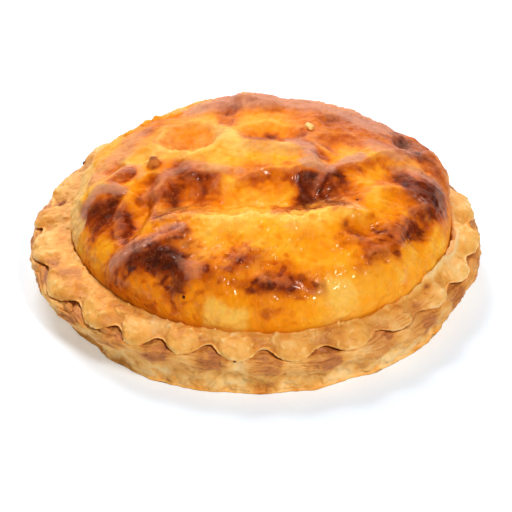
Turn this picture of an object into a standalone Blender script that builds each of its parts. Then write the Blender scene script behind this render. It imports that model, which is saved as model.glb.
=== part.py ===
"""Rice tart: a fluted puff pastry shell, baked with a domed filling of rice custard.

Metres, +Z up. The origin is on the table under the middle of the shell, and -Y is the front.
Lengths below are written in millimetres and multiplied by MM where the meshes are made.
"""

import math

import bmesh
import bpy
import numpy as np
from mathutils import Vector, noise

MM = 0.001

# The shell is a turned section, pressed into flutes by its tin.
# Each recess's bearing, in degrees from the front and round by the right, and the size of the lobe that follows it.
FLUTES = (
    (-122, 0.8), (-103, 1.1), (-91, 0.95), (-74, 1.1), (-57, 0.95), (-42, 1.0), (-28, 1.0), (-13, 1.05),
    (2, 0.95), (16, 0.9), (33, 0.75), (47, 0.75), (63, 0.8), (76, 0.8), (91, 0.9), (110, 0.9),
)
FLUTES_BACK = 7  # recesses spread over the rest, with lobes that differ by LOBE_SPREAD
STEPS_PER_FLUTE = 8
STEPS_CROWD = 0.3  # how far the steps crowd towards the recesses
RECESS_WIDTH = 0.48  # share of half a flute that its recess takes
LOBE_SPREAD = 0.15
TIN_OVAL = 0.9  # the rim is this much wider at left and right than at front and back
RIM_ROLL = 0.4  # slow rise and fall of the rim
RIM_WANDER = 0.2  # slow in and out of the rim
RIM_FROM, RIM_FULL = 2.0, 9.0  # heights between which the rim's wandering sets in
SWEEPS = ((-152, 26, 1.6), (-112, 14, -1.1))  # where the rim has puffed up or sunk: bearing, spread, height
SWEPT_LEAN = 0.3  # how far it leans out as it rises
# Where the layers under the rim bulge further out: bearing, half width in degrees, and how far
BULGES = ((-88, 22, 0.3), (-62, 10, 1.4), (-46, 8, 0.4), (72, 13, 0.8))
TUCKS = ((-52, 22, -1.3), (26, 14, -0.8))  # where the foot of the wall is drawn in: bearing, spread, and how far
TUCK_HEIGHT = 7.0

# Each row: radius and height in a recess, then how far a lobe stands out and hangs down from there, and the share of
# the filling's offset that the row follows. From the middle of the base, round the rim, to the floor inside.
SHELL_SECTION = (
    (0.0, 0.0, 0.0, 0.0, 0.0),
    (22.0, 0.0, 0.0, 0.0, 0.0),
    (46.8, 0.0, -0.3, 0.0, 0.0),
    (48.5, 0.5, -0.4, 0.0, 0.0),
    (48.9, 2.2, -0.4, 0.0, 0.0),
    (50.0, 4.4, -1.1, 0.0, 0.0),
    (51.7, 6.5, -1.6, 0.3, 0.0),
    (52.7, 8.4, -1.0, 0.6, 0.0),
    (52.3, 10.1, 0.1, 0.8, 0.0),
    (51.1, 11.2, 1.0, 1.2, 0.0),
    (49.8, 12.0, 2.2, 1.7, 0.1),
    (50.3, 12.7, 2.8, 1.7, 0.1),
    (49.4, 13.6, 2.7, 1.2, 0.2),
    (47.7, 14.4, 1.9, 0.6, 0.5),
    (46.4, 14.8, 0.7, 0.2, 0.8),
    (45.6, 14.5, 0.0, 0.0, 1.0),
    (45.2, 13.4, 0.0, 0.0, 1.0),
    (43.6, 8.6, 0.0, 0.0, 1.0),
    (41.6, 4.0, 0.0, 0.0, 1.0),
    (40.0, 3.0, 0.0, 0.0, 1.0),
    (0.0, 3.0, 0.0, 0.0, 0.0),
)
BULGE_HEIGHT, BULGE_HALF = 7.5, 5.0  # middle and half height of the bulging layers
RIM_INSIDE, RIM_OUTSIDE = 45.5, 48.5  # radii between which the shell goes from following the filling to wandering
# Where the lobes lean round the rim, in degrees for each millimetre outward, and where they hardly hang down:
# bearing, spread, amount
SLANTS = ((-50, 30, 0.9), (20, 12, 0.3))
SLANT_TO, SLANT_FROM_HEIGHT, SLANT_FULL_HEIGHT = 50.0, 6.5, 11.0
LEVELLED = ((47, 17, 0.75),)

# The filling: a puffed dome over a plug that fills the shell.
DOME_X = 1.5  # the filling sits this far right of the shell's middle
DOME_RADIUS = 44.8
DOME_FOOT = 14.3  # height at which it leaves the shell
DOME_RISE = 19.3
DOME_FLAT = 2.5  # how flat the top is, and
DOME_STEEP = 2.3  # how steep the flank
DOME_CELLS = 48
PLUG_RINGS = ((44.7, 13.4), (43.1, 8.7), (41.1, 4.2), (39.7, 3.3))
RELIEF_FROM, RELIEF_FULL = 15.2, 20.0  # heights between which the relief sets in, above the shell

# Folds and grooves in the baked skin: fall-off behind and in front of the line, how round the line is, then the
# line's points (x, y, height)
FOLDS = {
    "left_shelf": (5.0, 2.6, 0.5, ((-27, -14.8, 1.0), (-22, -12.2, 1.9), (-19.5, -9.8, 2.4), (-14, -8.4, 2.6),
                                   (-9, -9.4, 2.0), (-5, -10.8, 1.4), (-1, -9.0, 1.8), (4, -7.4, 2.1),
                                   (11, -7.8, 2.3))),
    "middle_arc": (1.5, 4.0, 0.3, ((-4, 3.4, 1.0), (-1, 2.6, 2.0), (3, 2.2, 2.4), (8, 1.0, 2.6), (11.6, -1.0, 2.5),
                                   (14.0, -4.4, 2.4), (14.6, -7.6, 2.8), (16.0, -8.4, 2.3), (18, -6.8, 2.1),
                                   (21, -4.6, 2.0), (25, -1.8, 1.9), (28.4, 1.4, 1.9), (33, 5.2, 1.9), (38, 7.4, 1.8),
                                   (40.5, 13, 1.3))),
    "bowl_lip": (1.8, 3.6, 0.3, ((-22.4, 6.4, 0.8), (-19.2, 1.6, 1.5), (-14.4, -2.2, 1.8), (-10.8, -0.8, 1.7),
                                 (-8.8, 3.6, 1.7), (-7.4, 8.4, 1.1))),
    "finger": (2.4, 2.4, 1.2, ((-9, -2, 0.4), (-6.5, 2.5, 1.1), (-5.6, 6.5, 1.2), (-6.4, 11, 0.6))),
    "front_fold": (2.2, 6.0, 0.5, ((-23, -22.8, 1.3), (-18, -22.7, 2.0), (-14, -22.6, 2.0), (-9, -25.0, 2.0),
                                   (-4, -25.5, 2.1), (1, -24.4, 2.1), (5, -25.0, 2.0), (8.4, -26.0, 2.2),
                                   (13, -22.8, 2.2), (19, -21.0, 2.0), (27, -19.6, 1.1))),
    "left_trough": (3.4, 4.0, 2.4, ((-24, -15.5, -2.4), (-18, -14.6, -3.6), (-12, -14.8, -3.4), (-6, -15.8, -2.6))),
    "right_trough": (4.4, 3.4, 2.8, ((-6, -15.8, -2.4), (0, -15.0, -2.4), (6, -15.2, -2.6), (11, -15.6, -3.0))),
    "pit": (3.2, 3.4, 2.0, ((12.5, -10.5, -1.2), (13.4, -13.5, -2.2), (16.5, -13.2, -3.2), (19.5, -12.2, -1.4))),
    "left_scar": (2.6, 3.4, 0.5, ((-36.6, -2.4, 1.1), (-34.6, -6.8, 2.2), (-31.6, -9.9, 2.2), (-29.5, -12, 1.1))),
    "burnt_brow": (2.2, 4.0, 0.5, ((-32, -27.9, 1.1), (-27, -29.6, 2.1), (-22.5, -29.6, 2.6), (-18, -27.8, 1.9),
                                   (-16, -25.8, 0.9))),
    "burnt_toe": (2.4, 2.6, 0.5, ((-19.5, -32.8, 1.0), (-15, -35.4, 1.7), (-11, -36.2, 1.0))),
    "chin": (2.6, 3.0, 0.7, ((-8, -38.0, 0.9), (-4.5, -35.6, 1.7), (-1, -32.8, 1.6), (3, -31.0, 0.7))),
    "front_lip": (1.8, 1.8, 0.5, ((1.5, -39.8, 0.9), (7, -40.0, 1.5), (14, -40.2, 0.9))),
    "right_brow": (2.4, 3.0, 0.7, ((25, -14.2, 1.0), (30, -11.6, 1.9), (35, -10.2, 2.1), (38.5, -10, 1.4))),
    "right_cheek": (2.4, 2.4, 0.7, ((33, -19.4, 0.9), (36.5, -15.5, 1.7), (39.5, -12, 1.4))),
    "right_jaw": (2.6, 2.2, 0.7, ((22, -32.9, 0.9), (26.5, -29.3, 1.6), (31.5, -24.8, 1.2))),
    "far_brow": (4.0, 4.0, 0.8, ((-14, 22.6, 0.8), (-9.5, 24.4, 1.5), (0, 23.8, 1.6), (10, 22.8, 1.1),
                                 (20, 20, 0.9), (29, 18, 0.8))),
}
# Hollows and swellings: x, y, half width, half depth, turn in degrees, height
SWELLS = {
    "left_bowl": (-14.6, 7.6, 8.4, 8.6, -12, -3.8),
    "middle_bowl": (4.0, 9.2, 8.6, 6.4, -4, -3.4),
    "far_groove": (-6.0, 21.5, 3.8, 9.5, 4, -1.3),
    "left_gully": (-27.2, -17.5, 4.2, 8.6, -12, -2.8),
    "left_notch": (-25.0, -9.0, 3.8, 3.0, 18, -1.7),
    "left_eye": (-33.0, 0.4, 2.8, 3.4, -20, -1.5),
    "knuckle_side": (-26.8, 2.0, 3.6, 4.2, 10, -1.2),
    "right_slope": (29, -4.0, 8.5, 6.0, 24, -2.2),
    "right_hollow": (20, 5.5, 6.0, 6.0, 20, -2.2),
    "far_right_dent": (36.6, 15, 4.2, 6.0, -24, -2.0),
    "side_flute": (36.6, -19.5, 3.0, 8.0, -28, -2.0),
    "right_dimple": (24, -24.2, 6.0, 3.4, 20, -1.6),
    "front_dip": (-6, -31.0, 7.5, 4.2, 12, -0.9),
    "front_dip_right": (12, -31.5, 8.5, 5.0, -8, -1.0),
    "left_knuckle": (-34.8, -9.6, 5.6, 6.2, 0, 1.8),
    "small_knuckle": (-31.0, -4.4, 4.0, 3.4, 20, 2.0),
    "right_knuckle": (39.0, -4.2, 6.2, 6.6, 0, 1.7),
    "far_knuckle": (-1, 27, 12, 9, 0, 1.2),
    "far_right_shoulder": (42.0, 14.5, 14, 8, -68, 2.0),
    "far_right_dip": (16, 32, 9, 6, -20, -0.7),
    "far_left_dip": (-17.5, 28, 9.5, 8, 20, -1.8),
    "nub": (-22.9, -3.4, 1.6, 1.6, 0, 2.4),
    "spike": (-38.4, -7.8, 1.8, 2.2, 30, 1.6),
}
UNEVEN = ((11.0, 0.9), (5.0, 0.5))  # size and height of the skin's random unevenness
SECTION_POINTS = 400  # points worked out along the dome's smooth section


def material(name, colour, roughness):
    """A plain baked surface."""
    made = bpy.data.materials.new(name)
    made.use_nodes = True
    shader = made.node_tree.nodes["Principled BSDF"]
    shader.inputs["Base Color"].default_value = (*colour, 1.0)
    shader.inputs["Roughness"].default_value = roughness
    shader.inputs["Metallic"].default_value = 0.0
    made.diffuse_color = (*colour, 1.0)
    return made


def points_of(mesh):
    """The mesh's points as an array of rows, in millimetres."""
    flat = np.zeros(len(mesh.vertices) * 3)
    mesh.vertices.foreach_get("co", flat)
    return flat.reshape(-1, 3) / MM


def set_points(mesh, points):
    mesh.vertices.foreach_set("co", (points * MM).ravel())
    mesh.update()


def flute_table():
    """Each recess's bearing, closed into a ring, and the size of the lobe after it."""
    bearings = [float(bearing) for bearing, _ in FLUTES]
    sizes = [size for _, size in FLUTES]
    gap = (bearings[0] + 360 - bearings[-1]) / (FLUTES_BACK + 1)
    for k in range(FLUTES_BACK):
        bearings.append(bearings[-1] + gap)
        sizes.append(1 + LOBE_SPREAD * math.sin(2.4 * k))
    return np.array(bearings + [bearings[0] + 360]), np.array(sizes)


def flutes(turn):
    """For shares of a full turn: the bearing there, and how far out on its lobe that is, 0 in a recess."""
    recess, size = flute_table()
    place = (turn % 1.0) * len(size)
    index = np.floor(place).astype(int) % len(size)
    share = place - np.floor(place)
    share = share - STEPS_CROWD * np.sin(2 * math.pi * share) / (2 * math.pi)
    bearing = recess[index] + share * (recess[index + 1] - recess[index])
    from_recess = 1 - np.abs(2 * share - 1)
    return bearing, (1 - np.exp(-((from_recess / RECESS_WIDTH) ** 2))) * size[index]


def bump(bearing, middle, spread):
    """1 at a bearing, dying out over its spread on either side."""
    away = (bearing - middle + 180) % 360 - 180
    return np.exp(-((away / spread) ** 2))


def press_shell(mesh):
    """Presses the flutes into the turned shell, and lets the rim roll and wander as baked pastry does."""
    points = points_of(mesh)
    radius = np.hypot(points[:, 0], points[:, 1])
    section = np.array(SHELL_SECTION)
    apart = np.hypot(radius[:, None] - section[:, 0], points[:, 2:3] - section[:, 1])
    row = section[apart.argmin(axis=1)]
    bearing, lobe = flutes(np.arctan2(points[:, 1], points[:, 0]) / (2 * math.pi))
    angle = np.radians(bearing - 90)

    rim = np.clip((points[:, 2] - RIM_FROM) / (RIM_FULL - RIM_FROM), 0, 1)
    rim = np.where(row[:, 0] > RIM_INSIDE, rim, 0.0)
    outside = rim * np.clip((row[:, 0] - RIM_INSIDE) / (RIM_OUTSIDE - RIM_INSIDE), 0, 1)
    wander = RIM_WANDER * (np.sin(5 * angle + 1.0) + 0.6 * np.sin(9 * angle + 2.2))
    roll = RIM_ROLL * (np.sin(3 * angle + 0.5) + 0.6 * np.sin(7 * angle + 1.9))
    swept = sum(rise * bump(bearing, middle, spread) for middle, spread, rise in SWEEPS)
    roll += swept
    wander += swept * SWEPT_LEAN
    layers = np.clip(1 - ((points[:, 2] - BULGE_HEIGHT) / BULGE_HALF) ** 2, 0, 1)
    for middle, spread, outward in BULGES:
        wander += outward * layers * bump(bearing, middle, spread)
    tuck = sum(outward * bump(bearing, middle, spread) for middle, spread, outward in TUCKS)
    tuck *= np.clip(1 - points[:, 2] / TUCK_HEIGHT, 0, 1) * np.clip((row[:, 0] - RIM_INSIDE) / 1.3, 0, 1)
    radius += row[:, 2] * lobe + outside * (wander + TIN_OVAL * np.cos(2 * angle)) + tuck
    lean = np.clip(row[:, 0], RIM_INSIDE, SLANT_TO) - RIM_INSIDE
    lean *= np.clip((row[:, 1] - SLANT_FROM_HEIGHT) / (SLANT_FULL_HEIGHT - SLANT_FROM_HEIGHT), 0, 1)
    angle += np.radians(lean * sum(turn * bump(bearing, middle, spread) for middle, spread, turn in SLANTS))
    hang = 1 - sum(share * bump(bearing, middle, spread) for middle, spread, share in LEVELLED)
    points[:, 0] = np.cos(angle) * radius + DOME_X * row[:, 4]
    points[:, 1] = np.sin(angle) * radius
    points[:, 2] += rim * roll - row[:, 3] * lobe * hang
    set_points(mesh, points)


def make_shell():
    """The pastry shell: its section turned round the middle, then fluted."""
    steps = (len(FLUTES) + FLUTES_BACK) * STEPS_PER_FLUTE
    # A Screw's profile runs down its outer side, so the section is taken from the floor inside to the base.
    section = [(row[0] * MM, 0.0, row[1] * MM) for row in reversed(SHELL_SECTION)]
    profile = bpy.data.meshes.new("pastry_crust")
    profile.from_pydata(section, [(k, k + 1) for k in range(len(section) - 1)], [])
    turned = bpy.data.objects.new("turned_shell", profile)
    bpy.context.scene.collection.objects.link(turned)
    screw = turned.modifiers.new("turn", "SCREW")
    screw.steps = screw.render_steps = steps
    screw.use_merge_vertices = True
    screw.merge_threshold = 0.00001
    bpy.context.view_layer.update()
    graph = bpy.context.evaluated_depsgraph_get()
    mesh = bpy.data.meshes.new_from_object(turned.evaluated_get(graph))
    bpy.data.objects.remove(turned)
    press_shell(mesh)
    return mesh


def crease(x, y, behind, before, rounding, crest):
    """Height of a fold or groove along its points, falling off on either side."""
    nearest = np.full(len(x), np.inf)
    height = np.zeros(len(x))
    for (ax, ay, ah), (bx, by, bh) in zip(crest, crest[1:]):
        run, rise = bx - ax, by - ay
        share = np.clip(((x - ax) * run + (y - ay) * rise) / (run**2 + rise**2), 0, 1)
        off_x, off_y = x - ax - share * run, y - ay - share * rise
        apart = np.hypot(off_x, off_y)
        is_behind = run * off_y - rise * off_x > 0
        width = np.where(is_behind, behind, before)
        fall = np.exp(-(np.sqrt(apart**2 + rounding**2) - rounding) / width)
        closer = apart < nearest
        nearest = np.where(closer, apart, nearest)
        height = np.where(closer, (ah + share * (bh - ah)) * fall, height)
    return height


def swell(x, y, middle_x, middle_y, half_width, half_depth, turn, height):
    """Height of a rounded hollow or swelling."""
    c, s = math.cos(math.radians(turn)), math.sin(math.radians(turn))
    along = ((x - middle_x) * c + (y - middle_y) * s) / half_width
    across = (-(x - middle_x) * s + (y - middle_y) * c) / half_depth
    return height * np.clip(1 - along**2 - across**2, 0, 1) ** 1.5


def ripple(x, y, size, seed):
    """Smooth unevenness about as large as size."""
    return np.array([noise.noise(Vector((a / size, b / size, seed))) for a, b in zip(x, y)])


def relief(x, y):
    """How far the skin stands off the smooth dome at a place on it."""
    height = sum(tall * ripple(x, y, size, size) for size, tall in UNEVEN)
    for fold in FOLDS.values():
        height += crease(x, y, *fold)
    for form in SWELLS.values():
        height += swell(x, y, *form)
    return height


def dome_section():
    """The dome's smooth section: radius and height at even steps along it, from the top to the foot."""
    turn = np.linspace(0, math.pi / 2, SECTION_POINTS)
    radius = DOME_RADIUS * np.sin(turn) ** (2 / DOME_FLAT)
    height = DOME_FOOT + DOME_RISE * np.cos(turn).clip(0) ** (2 / DOME_STEEP)
    length = np.append(0, np.cumsum(np.hypot(np.diff(radius), np.diff(height))))
    return length / length[-1], radius, height


def round_off(square):
    """A square grid's points moved to a disc, each square ring becoming a circle."""
    x, y = square[:, 0], square[:, 1]
    ring = np.maximum(np.abs(x), np.abs(y))
    wide = np.abs(x) >= np.abs(y)
    with np.errstate(divide="ignore", invalid="ignore"):
        eighth = np.where(wide, y / x, x / y) * math.pi / 4
    eighth = np.nan_to_num(eighth)
    angle = np.where(wide, eighth + np.where(x < 0, math.pi, 0), math.pi / 2 - eighth + np.where(y < 0, math.pi, 0))
    return ring, angle


def shape_dome(mesh):
    """Raises the flat grid into the dome, and gives its skin the relief."""
    ring, angle = round_off(points_of(mesh) * MM)
    share, section_radius, section_height = dome_section()
    radius = np.interp(ring, share, section_radius)
    height = np.interp(ring, share, section_height)
    step = 1 / SECTION_POINTS
    run = np.interp(ring + step, share, section_radius) - np.interp(ring - step, share, section_radius)
    fall = np.interp(ring - step, share, section_height) - np.interp(ring + step, share, section_height)
    slope = np.hypot(run, fall)
    slope[slope == 0] = 1
    x, y = radius * np.cos(angle) + DOME_X, radius * np.sin(angle)
    stand_off = relief(x, y) * np.clip((height - RELIEF_FROM) / (RELIEF_FULL - RELIEF_FROM), 0, 1)
    out, up = stand_off * fall / slope, stand_off * run / slope
    points = np.stack([x + out * np.cos(angle), y + out * np.sin(angle), height + up], axis=1)
    set_points(mesh, points)


def add_plug(mesh):
    """Closes the dome below with the plug that fills the shell."""
    form = bmesh.new()
    form.from_mesh(mesh)
    edges = [edge for edge in form.edges if edge.is_boundary]
    for radius, height in PLUG_RINGS:
        made = bmesh.ops.extrude_edge_only(form, edges=edges)["geom"]
        edges = [item for item in made if isinstance(item, bmesh.types.BMEdge) and item.is_boundary]
        for vertex in {vertex for edge in edges for vertex in edge.verts}:
            angle = math.atan2(vertex.co.y, vertex.co.x - DOME_X * MM)
            vertex.co.x = (radius * math.cos(angle) + DOME_X) * MM
            vertex.co.y = radius * math.sin(angle) * MM
            vertex.co.z = height * MM
    bmesh.ops.edgeloop_fill(form, edges=edges)
    bmesh.ops.recalc_face_normals(form, faces=form.faces)
    form.to_mesh(mesh)
    form.free()


def make_filling():
    """The rice filling: a grid rounded off and raised into the dome, with its plug below."""
    form = bmesh.new()
    bmesh.ops.create_grid(form, x_segments=DOME_CELLS, y_segments=DOME_CELLS, size=1.0)
    mesh = bpy.data.meshes.new("rice_filling")
    form.to_mesh(mesh)
    form.free()
    shape_dome(mesh)
    add_plug(mesh)
    return mesh


def place(name, mesh, surface, collection):
    """Puts a mesh in the scene as a named piece, shaded smooth over its gentle edges."""
    mesh.name = name
    mesh.materials.clear()
    mesh.materials.append(surface)
    mesh.shade_smooth()
    mesh.set_sharp_from_angle(angle=math.radians(50))
    made = bpy.data.objects.new(name, mesh)
    collection.objects.link(made)
    return made


def main():
    for old in list(bpy.data.objects):
        bpy.data.objects.remove(old)
    collection = bpy.data.collections.new("rice_tart")
    bpy.context.scene.collection.children.link(collection)
    pastry = material("baked_pastry", (0.72, 0.42, 0.16), 0.6)
    custard = material("baked_rice_custard", (0.85, 0.38, 0.05), 0.4)
    place("pastry_crust", make_shell(), pastry, collection)
    place("rice_filling", make_filling(), custard, collection)


main()
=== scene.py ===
import math

import bpy
import numpy as np
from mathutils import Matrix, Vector, noise


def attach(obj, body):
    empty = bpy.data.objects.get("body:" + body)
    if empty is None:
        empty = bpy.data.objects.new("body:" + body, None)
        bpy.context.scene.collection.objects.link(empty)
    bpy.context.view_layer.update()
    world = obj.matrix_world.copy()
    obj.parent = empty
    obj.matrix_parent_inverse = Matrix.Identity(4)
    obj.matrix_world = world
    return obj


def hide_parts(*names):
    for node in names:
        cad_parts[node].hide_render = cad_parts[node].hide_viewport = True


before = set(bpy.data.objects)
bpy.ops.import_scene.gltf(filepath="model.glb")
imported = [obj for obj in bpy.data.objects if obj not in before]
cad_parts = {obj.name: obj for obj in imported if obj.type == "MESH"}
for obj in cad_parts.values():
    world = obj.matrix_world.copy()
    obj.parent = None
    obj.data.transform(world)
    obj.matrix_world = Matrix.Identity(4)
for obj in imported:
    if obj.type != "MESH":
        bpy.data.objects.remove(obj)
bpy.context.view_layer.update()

# A rice tart. Lengths are in millimetres and multiplied by MM where meshes are made. +Z is up, -Y is the front.
MM = 0.001

# ---------------------------------------------------------------- the forms that the solids have too

# Each recess's bearing, in degrees from the front and round by the right, and the size of the lobe that follows it.
FLUTES = (
    (-122, 0.8), (-103, 1.1), (-91, 0.95), (-74, 1.1), (-57, 0.95), (-42, 1.0), (-28, 1.0), (-13, 1.05),
    (2, 0.95), (16, 0.9), (33, 0.75), (47, 0.75), (63, 0.8), (76, 0.8), (91, 0.9), (110, 0.9),
)
FLUTES_BACK = 7
RECESS_WIDTH = 0.48
LOBE_SPREAD = 0.15
TIN_OVAL = 0.9
RIM_ROLL = 0.4
RIM_WANDER = 0.2
RIM_FROM, RIM_FULL = 2.0, 9.0
SWEEPS = ((-152, 26, 1.6), (-112, 14, -1.1))
SWEPT_LEAN = 0.3
BULGES = ((-88, 22, 0.3), (-62, 10, 1.4), (-46, 8, 0.4), (72, 13, 0.8))
BULGE_HEIGHT, BULGE_HALF = 7.5, 5.0
TUCKS = ((-52, 22, -1.3), (26, 14, -0.8))
TUCK_HEIGHT, TUCK_BLEND = 7.0, 1.3
RIM_INSIDE, RIM_OUTSIDE = 45.5, 48.5
RIM_STARTS, RIM_BLEND = 44.9, 0.6
# Where the lobes lean round the rim (degrees for each millimetre outward) and where they hardly hang down:
# bearing, spread, amount.
SLANTS = ((-50, 30, 0.9), (20, 12, 0.3))
SLANT_TO, SLANT_FROM_HEIGHT, SLANT_FULL_HEIGHT = 50.0, 6.5, 11.0
LEVELLED = ((47, 17, 0.75),)

# Each row: radius and height in a recess, how far a lobe stands out and hangs down from there, the share of the
# filling's offset that the row follows, and how many steps lead to the next row.
WALL_SECTION = (
    (22.0, 0.0, 0.0, 0.0, 0.0, 2),
    (46.8, 0.0, -0.3, 0.0, 0.0, 3),
    (48.5, 0.5, -0.4, 0.0, 0.0, 7),
    (48.9, 2.2, -0.4, 0.0, 0.0, 9),
    (50.0, 4.4, -1.1, 0.0, 0.0, 11),
    (51.6, 6.5, -1.6, 0.3, 0.0, 15),
    (52.5, 8.4, -1.0, 0.6, 0.0, 17),
    (52.2, 10.1, 0.1, 0.6, 0.0, 12),
    (51.0, 11.3, 1.0, 0.9, 0.0, 6),
    (49.2, 12.0, 1.2, 1.4, 0.1, 2),
    (47.2, 12.3, 0.0, 1.0, 0.4, 1),
    (45.9, 12.2, 0.0, 0.2, 1.0, 1),
    (43.6, 8.6, 0.0, 0.0, 1.0, 1),
    (41.6, 4.0, 0.0, 0.0, 1.0, 1),
    (40.0, 3.0, 0.0, 0.0, 1.0, 0),
)
# Rows where the wall begins, where its layers show and where it ends.
WALL_BASE, WALL_LAYERS, WALL_TOP = 2.0, 4.6, 8.6
LIP_SECTION = (
    (46.0, 13.0, 0.0, 0.3, 0.9, 2),
    (47.6, 12.8, 1.0, 0.9, 0.5, 3),
    (48.9, 12.4, 2.4, 1.5, 0.2, 4),
    (49.75, 12.4, 2.7, 1.8, 0.1, 4),
    (50.0, 12.7, 2.7, 1.7, 0.1, 7),
    (49.1, 13.6, 2.6, 1.2, 0.2, 11),
    (47.6, 14.3, 1.9, 0.6, 0.5, 12),
    (46.2, 14.75, 0.6, 0.2, 0.8, 8),
    (45.1, 14.75, 0.0, 0.0, 1.0, 4),
    (44.7, 14.3, 0.0, 0.0, 1.0, 1),
    (44.8, 13.4, 0.0, 0.0, 1.0, 1),
)
# Rows of the lip's edge, of the start of its top and of its inner side.
LIP_EDGE, LIP_TOP, LIP_INNER = 3.4, 4.4, 7.6
LIP_OUTER, LAYERED_OUTER = 46.4, 48.4  # radii from where pleats and open layers show
WALL_STEPS, LIP_STEPS = 46, 64  # steps round the rim for each flute
STEPS_CROWD = 0.3

DOME_X = 1.5
DOME_RADIUS = 44.8
DOME_FOOT = 14.3
DOME_RISE = 19.3
DOME_FLAT = 2.5
DOME_STEEP = 2.3
DOME_CELLS = 300
PLUG_RINGS = ((44.8, 13.4), (43.1, 8.7), (41.1, 4.2), (39.7, 3.3))
RELIEF_FROM, RELIEF_FULL = 15.2, 20.0
FINE_FROM, FINE_FULL = 14.6, 16.4

# Folds and grooves in the baked skin: fall-off behind and in front of the line, how round the line is, then the
# line's points (x, y, height).
FOLDS = {
    "left_shelf": (5.0, 2.6, 0.5, ((-27, -14.8, 1.0), (-22, -12.2, 1.9), (-19.5, -9.8, 2.4), (-14, -8.4, 2.6),
                                   (-9, -9.4, 2.0), (-5, -10.8, 1.4), (-1, -9.0, 1.8), (4, -7.4, 2.1),
                                   (11, -7.8, 2.3))),
    "middle_arc": (1.5, 4.0, 0.3, ((-4, 3.4, 1.0), (-1, 2.6, 2.0), (3, 2.2, 2.4), (8, 1.0, 2.6), (11.6, -1.0, 2.5),
                                   (14.0, -4.4, 2.4), (14.6, -7.6, 2.8), (16.0, -8.4, 2.3), (18, -6.8, 2.1),
                                   (21, -4.6, 2.0), (25, -1.8, 1.9), (28.4, 1.4, 1.9), (33, 5.2, 1.9),
                                   (38, 7.4, 1.8), (40.5, 13, 1.3))),
    "bowl_lip": (1.8, 3.6, 0.3, ((-22.4, 6.4, 0.8), (-19.2, 1.6, 1.5), (-14.4, -2.2, 1.8), (-10.8, -0.8, 1.7),
                                 (-8.8, 3.6, 1.7), (-7.4, 8.4, 1.1))),
    "finger": (2.4, 2.4, 1.2, ((-9, -2, 0.4), (-6.5, 2.5, 1.1), (-5.6, 6.5, 1.2), (-6.4, 11, 0.6))),
    "front_fold": (2.2, 6.0, 0.5, ((-23, -22.8, 1.3), (-18, -22.7, 2.0), (-14, -22.6, 2.0), (-9, -25.0, 2.0),
                                   (-4, -25.5, 2.1), (1, -24.4, 2.1), (5, -25.0, 2.0), (8.4, -26.0, 2.2),
                                   (13, -22.8, 2.2), (19, -21.0, 2.0), (27, -19.6, 1.1))),
    "left_trough": (3.4, 4.0, 2.4, ((-24, -15.5, -2.4), (-18, -14.6, -3.6), (-12, -14.8, -3.4), (-6, -15.8, -2.6))),
    "right_trough": (4.4, 3.4, 2.8, ((-6, -15.8, -2.4), (0, -15.0, -2.4), (6, -15.2, -2.6), (11, -15.6, -3.0))),
    "pit": (3.2, 3.4, 2.0, ((12.5, -10.5, -1.2), (13.4, -13.5, -2.2), (16.5, -13.2, -3.2), (19.5, -12.2, -1.4))),
    "left_scar": (2.6, 3.4, 0.5, ((-36.6, -2.4, 1.1), (-34.6, -6.8, 2.2), (-31.6, -9.9, 2.2), (-29.5, -12, 1.1))),
    "burnt_brow": (2.2, 4.0, 0.5, ((-32, -27.9, 1.1), (-27, -29.6, 2.1), (-22.5, -29.6, 2.6), (-18, -27.8, 1.9),
                                   (-16, -25.8, 0.9))),
    "burnt_toe": (2.4, 2.6, 0.5, ((-19.5, -32.8, 1.0), (-15, -35.4, 1.7), (-11, -36.2, 1.0))),
    "chin": (2.6, 3.0, 0.7, ((-8, -38.0, 0.9), (-4.5, -35.6, 1.7), (-1, -32.8, 1.6), (3, -31.0, 0.7))),
    "front_lip": (1.8, 1.8, 0.5, ((1.5, -39.8, 0.9), (7, -40.0, 1.5), (14, -40.2, 0.9))),
    "right_brow": (2.4, 3.0, 0.7, ((25, -14.2, 1.0), (30, -11.6, 1.9), (35, -10.2, 2.1), (38.5, -10, 1.4))),
    "right_cheek": (2.4, 2.4, 0.7, ((33, -19.4, 0.9), (36.5, -15.5, 1.7), (39.5, -12, 1.4))),
    "right_jaw": (2.6, 2.2, 0.7, ((22, -32.9, 0.9), (26.5, -29.3, 1.6), (31.5, -24.8, 1.2))),
    "far_brow": (4.0, 4.0, 0.8, ((-14, 22.6, 0.8), (-9.5, 24.4, 1.5), (0, 23.8, 1.6), (10, 22.8, 1.1),
                                 (20, 20, 0.9), (29, 18, 0.8))),
}
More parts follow.
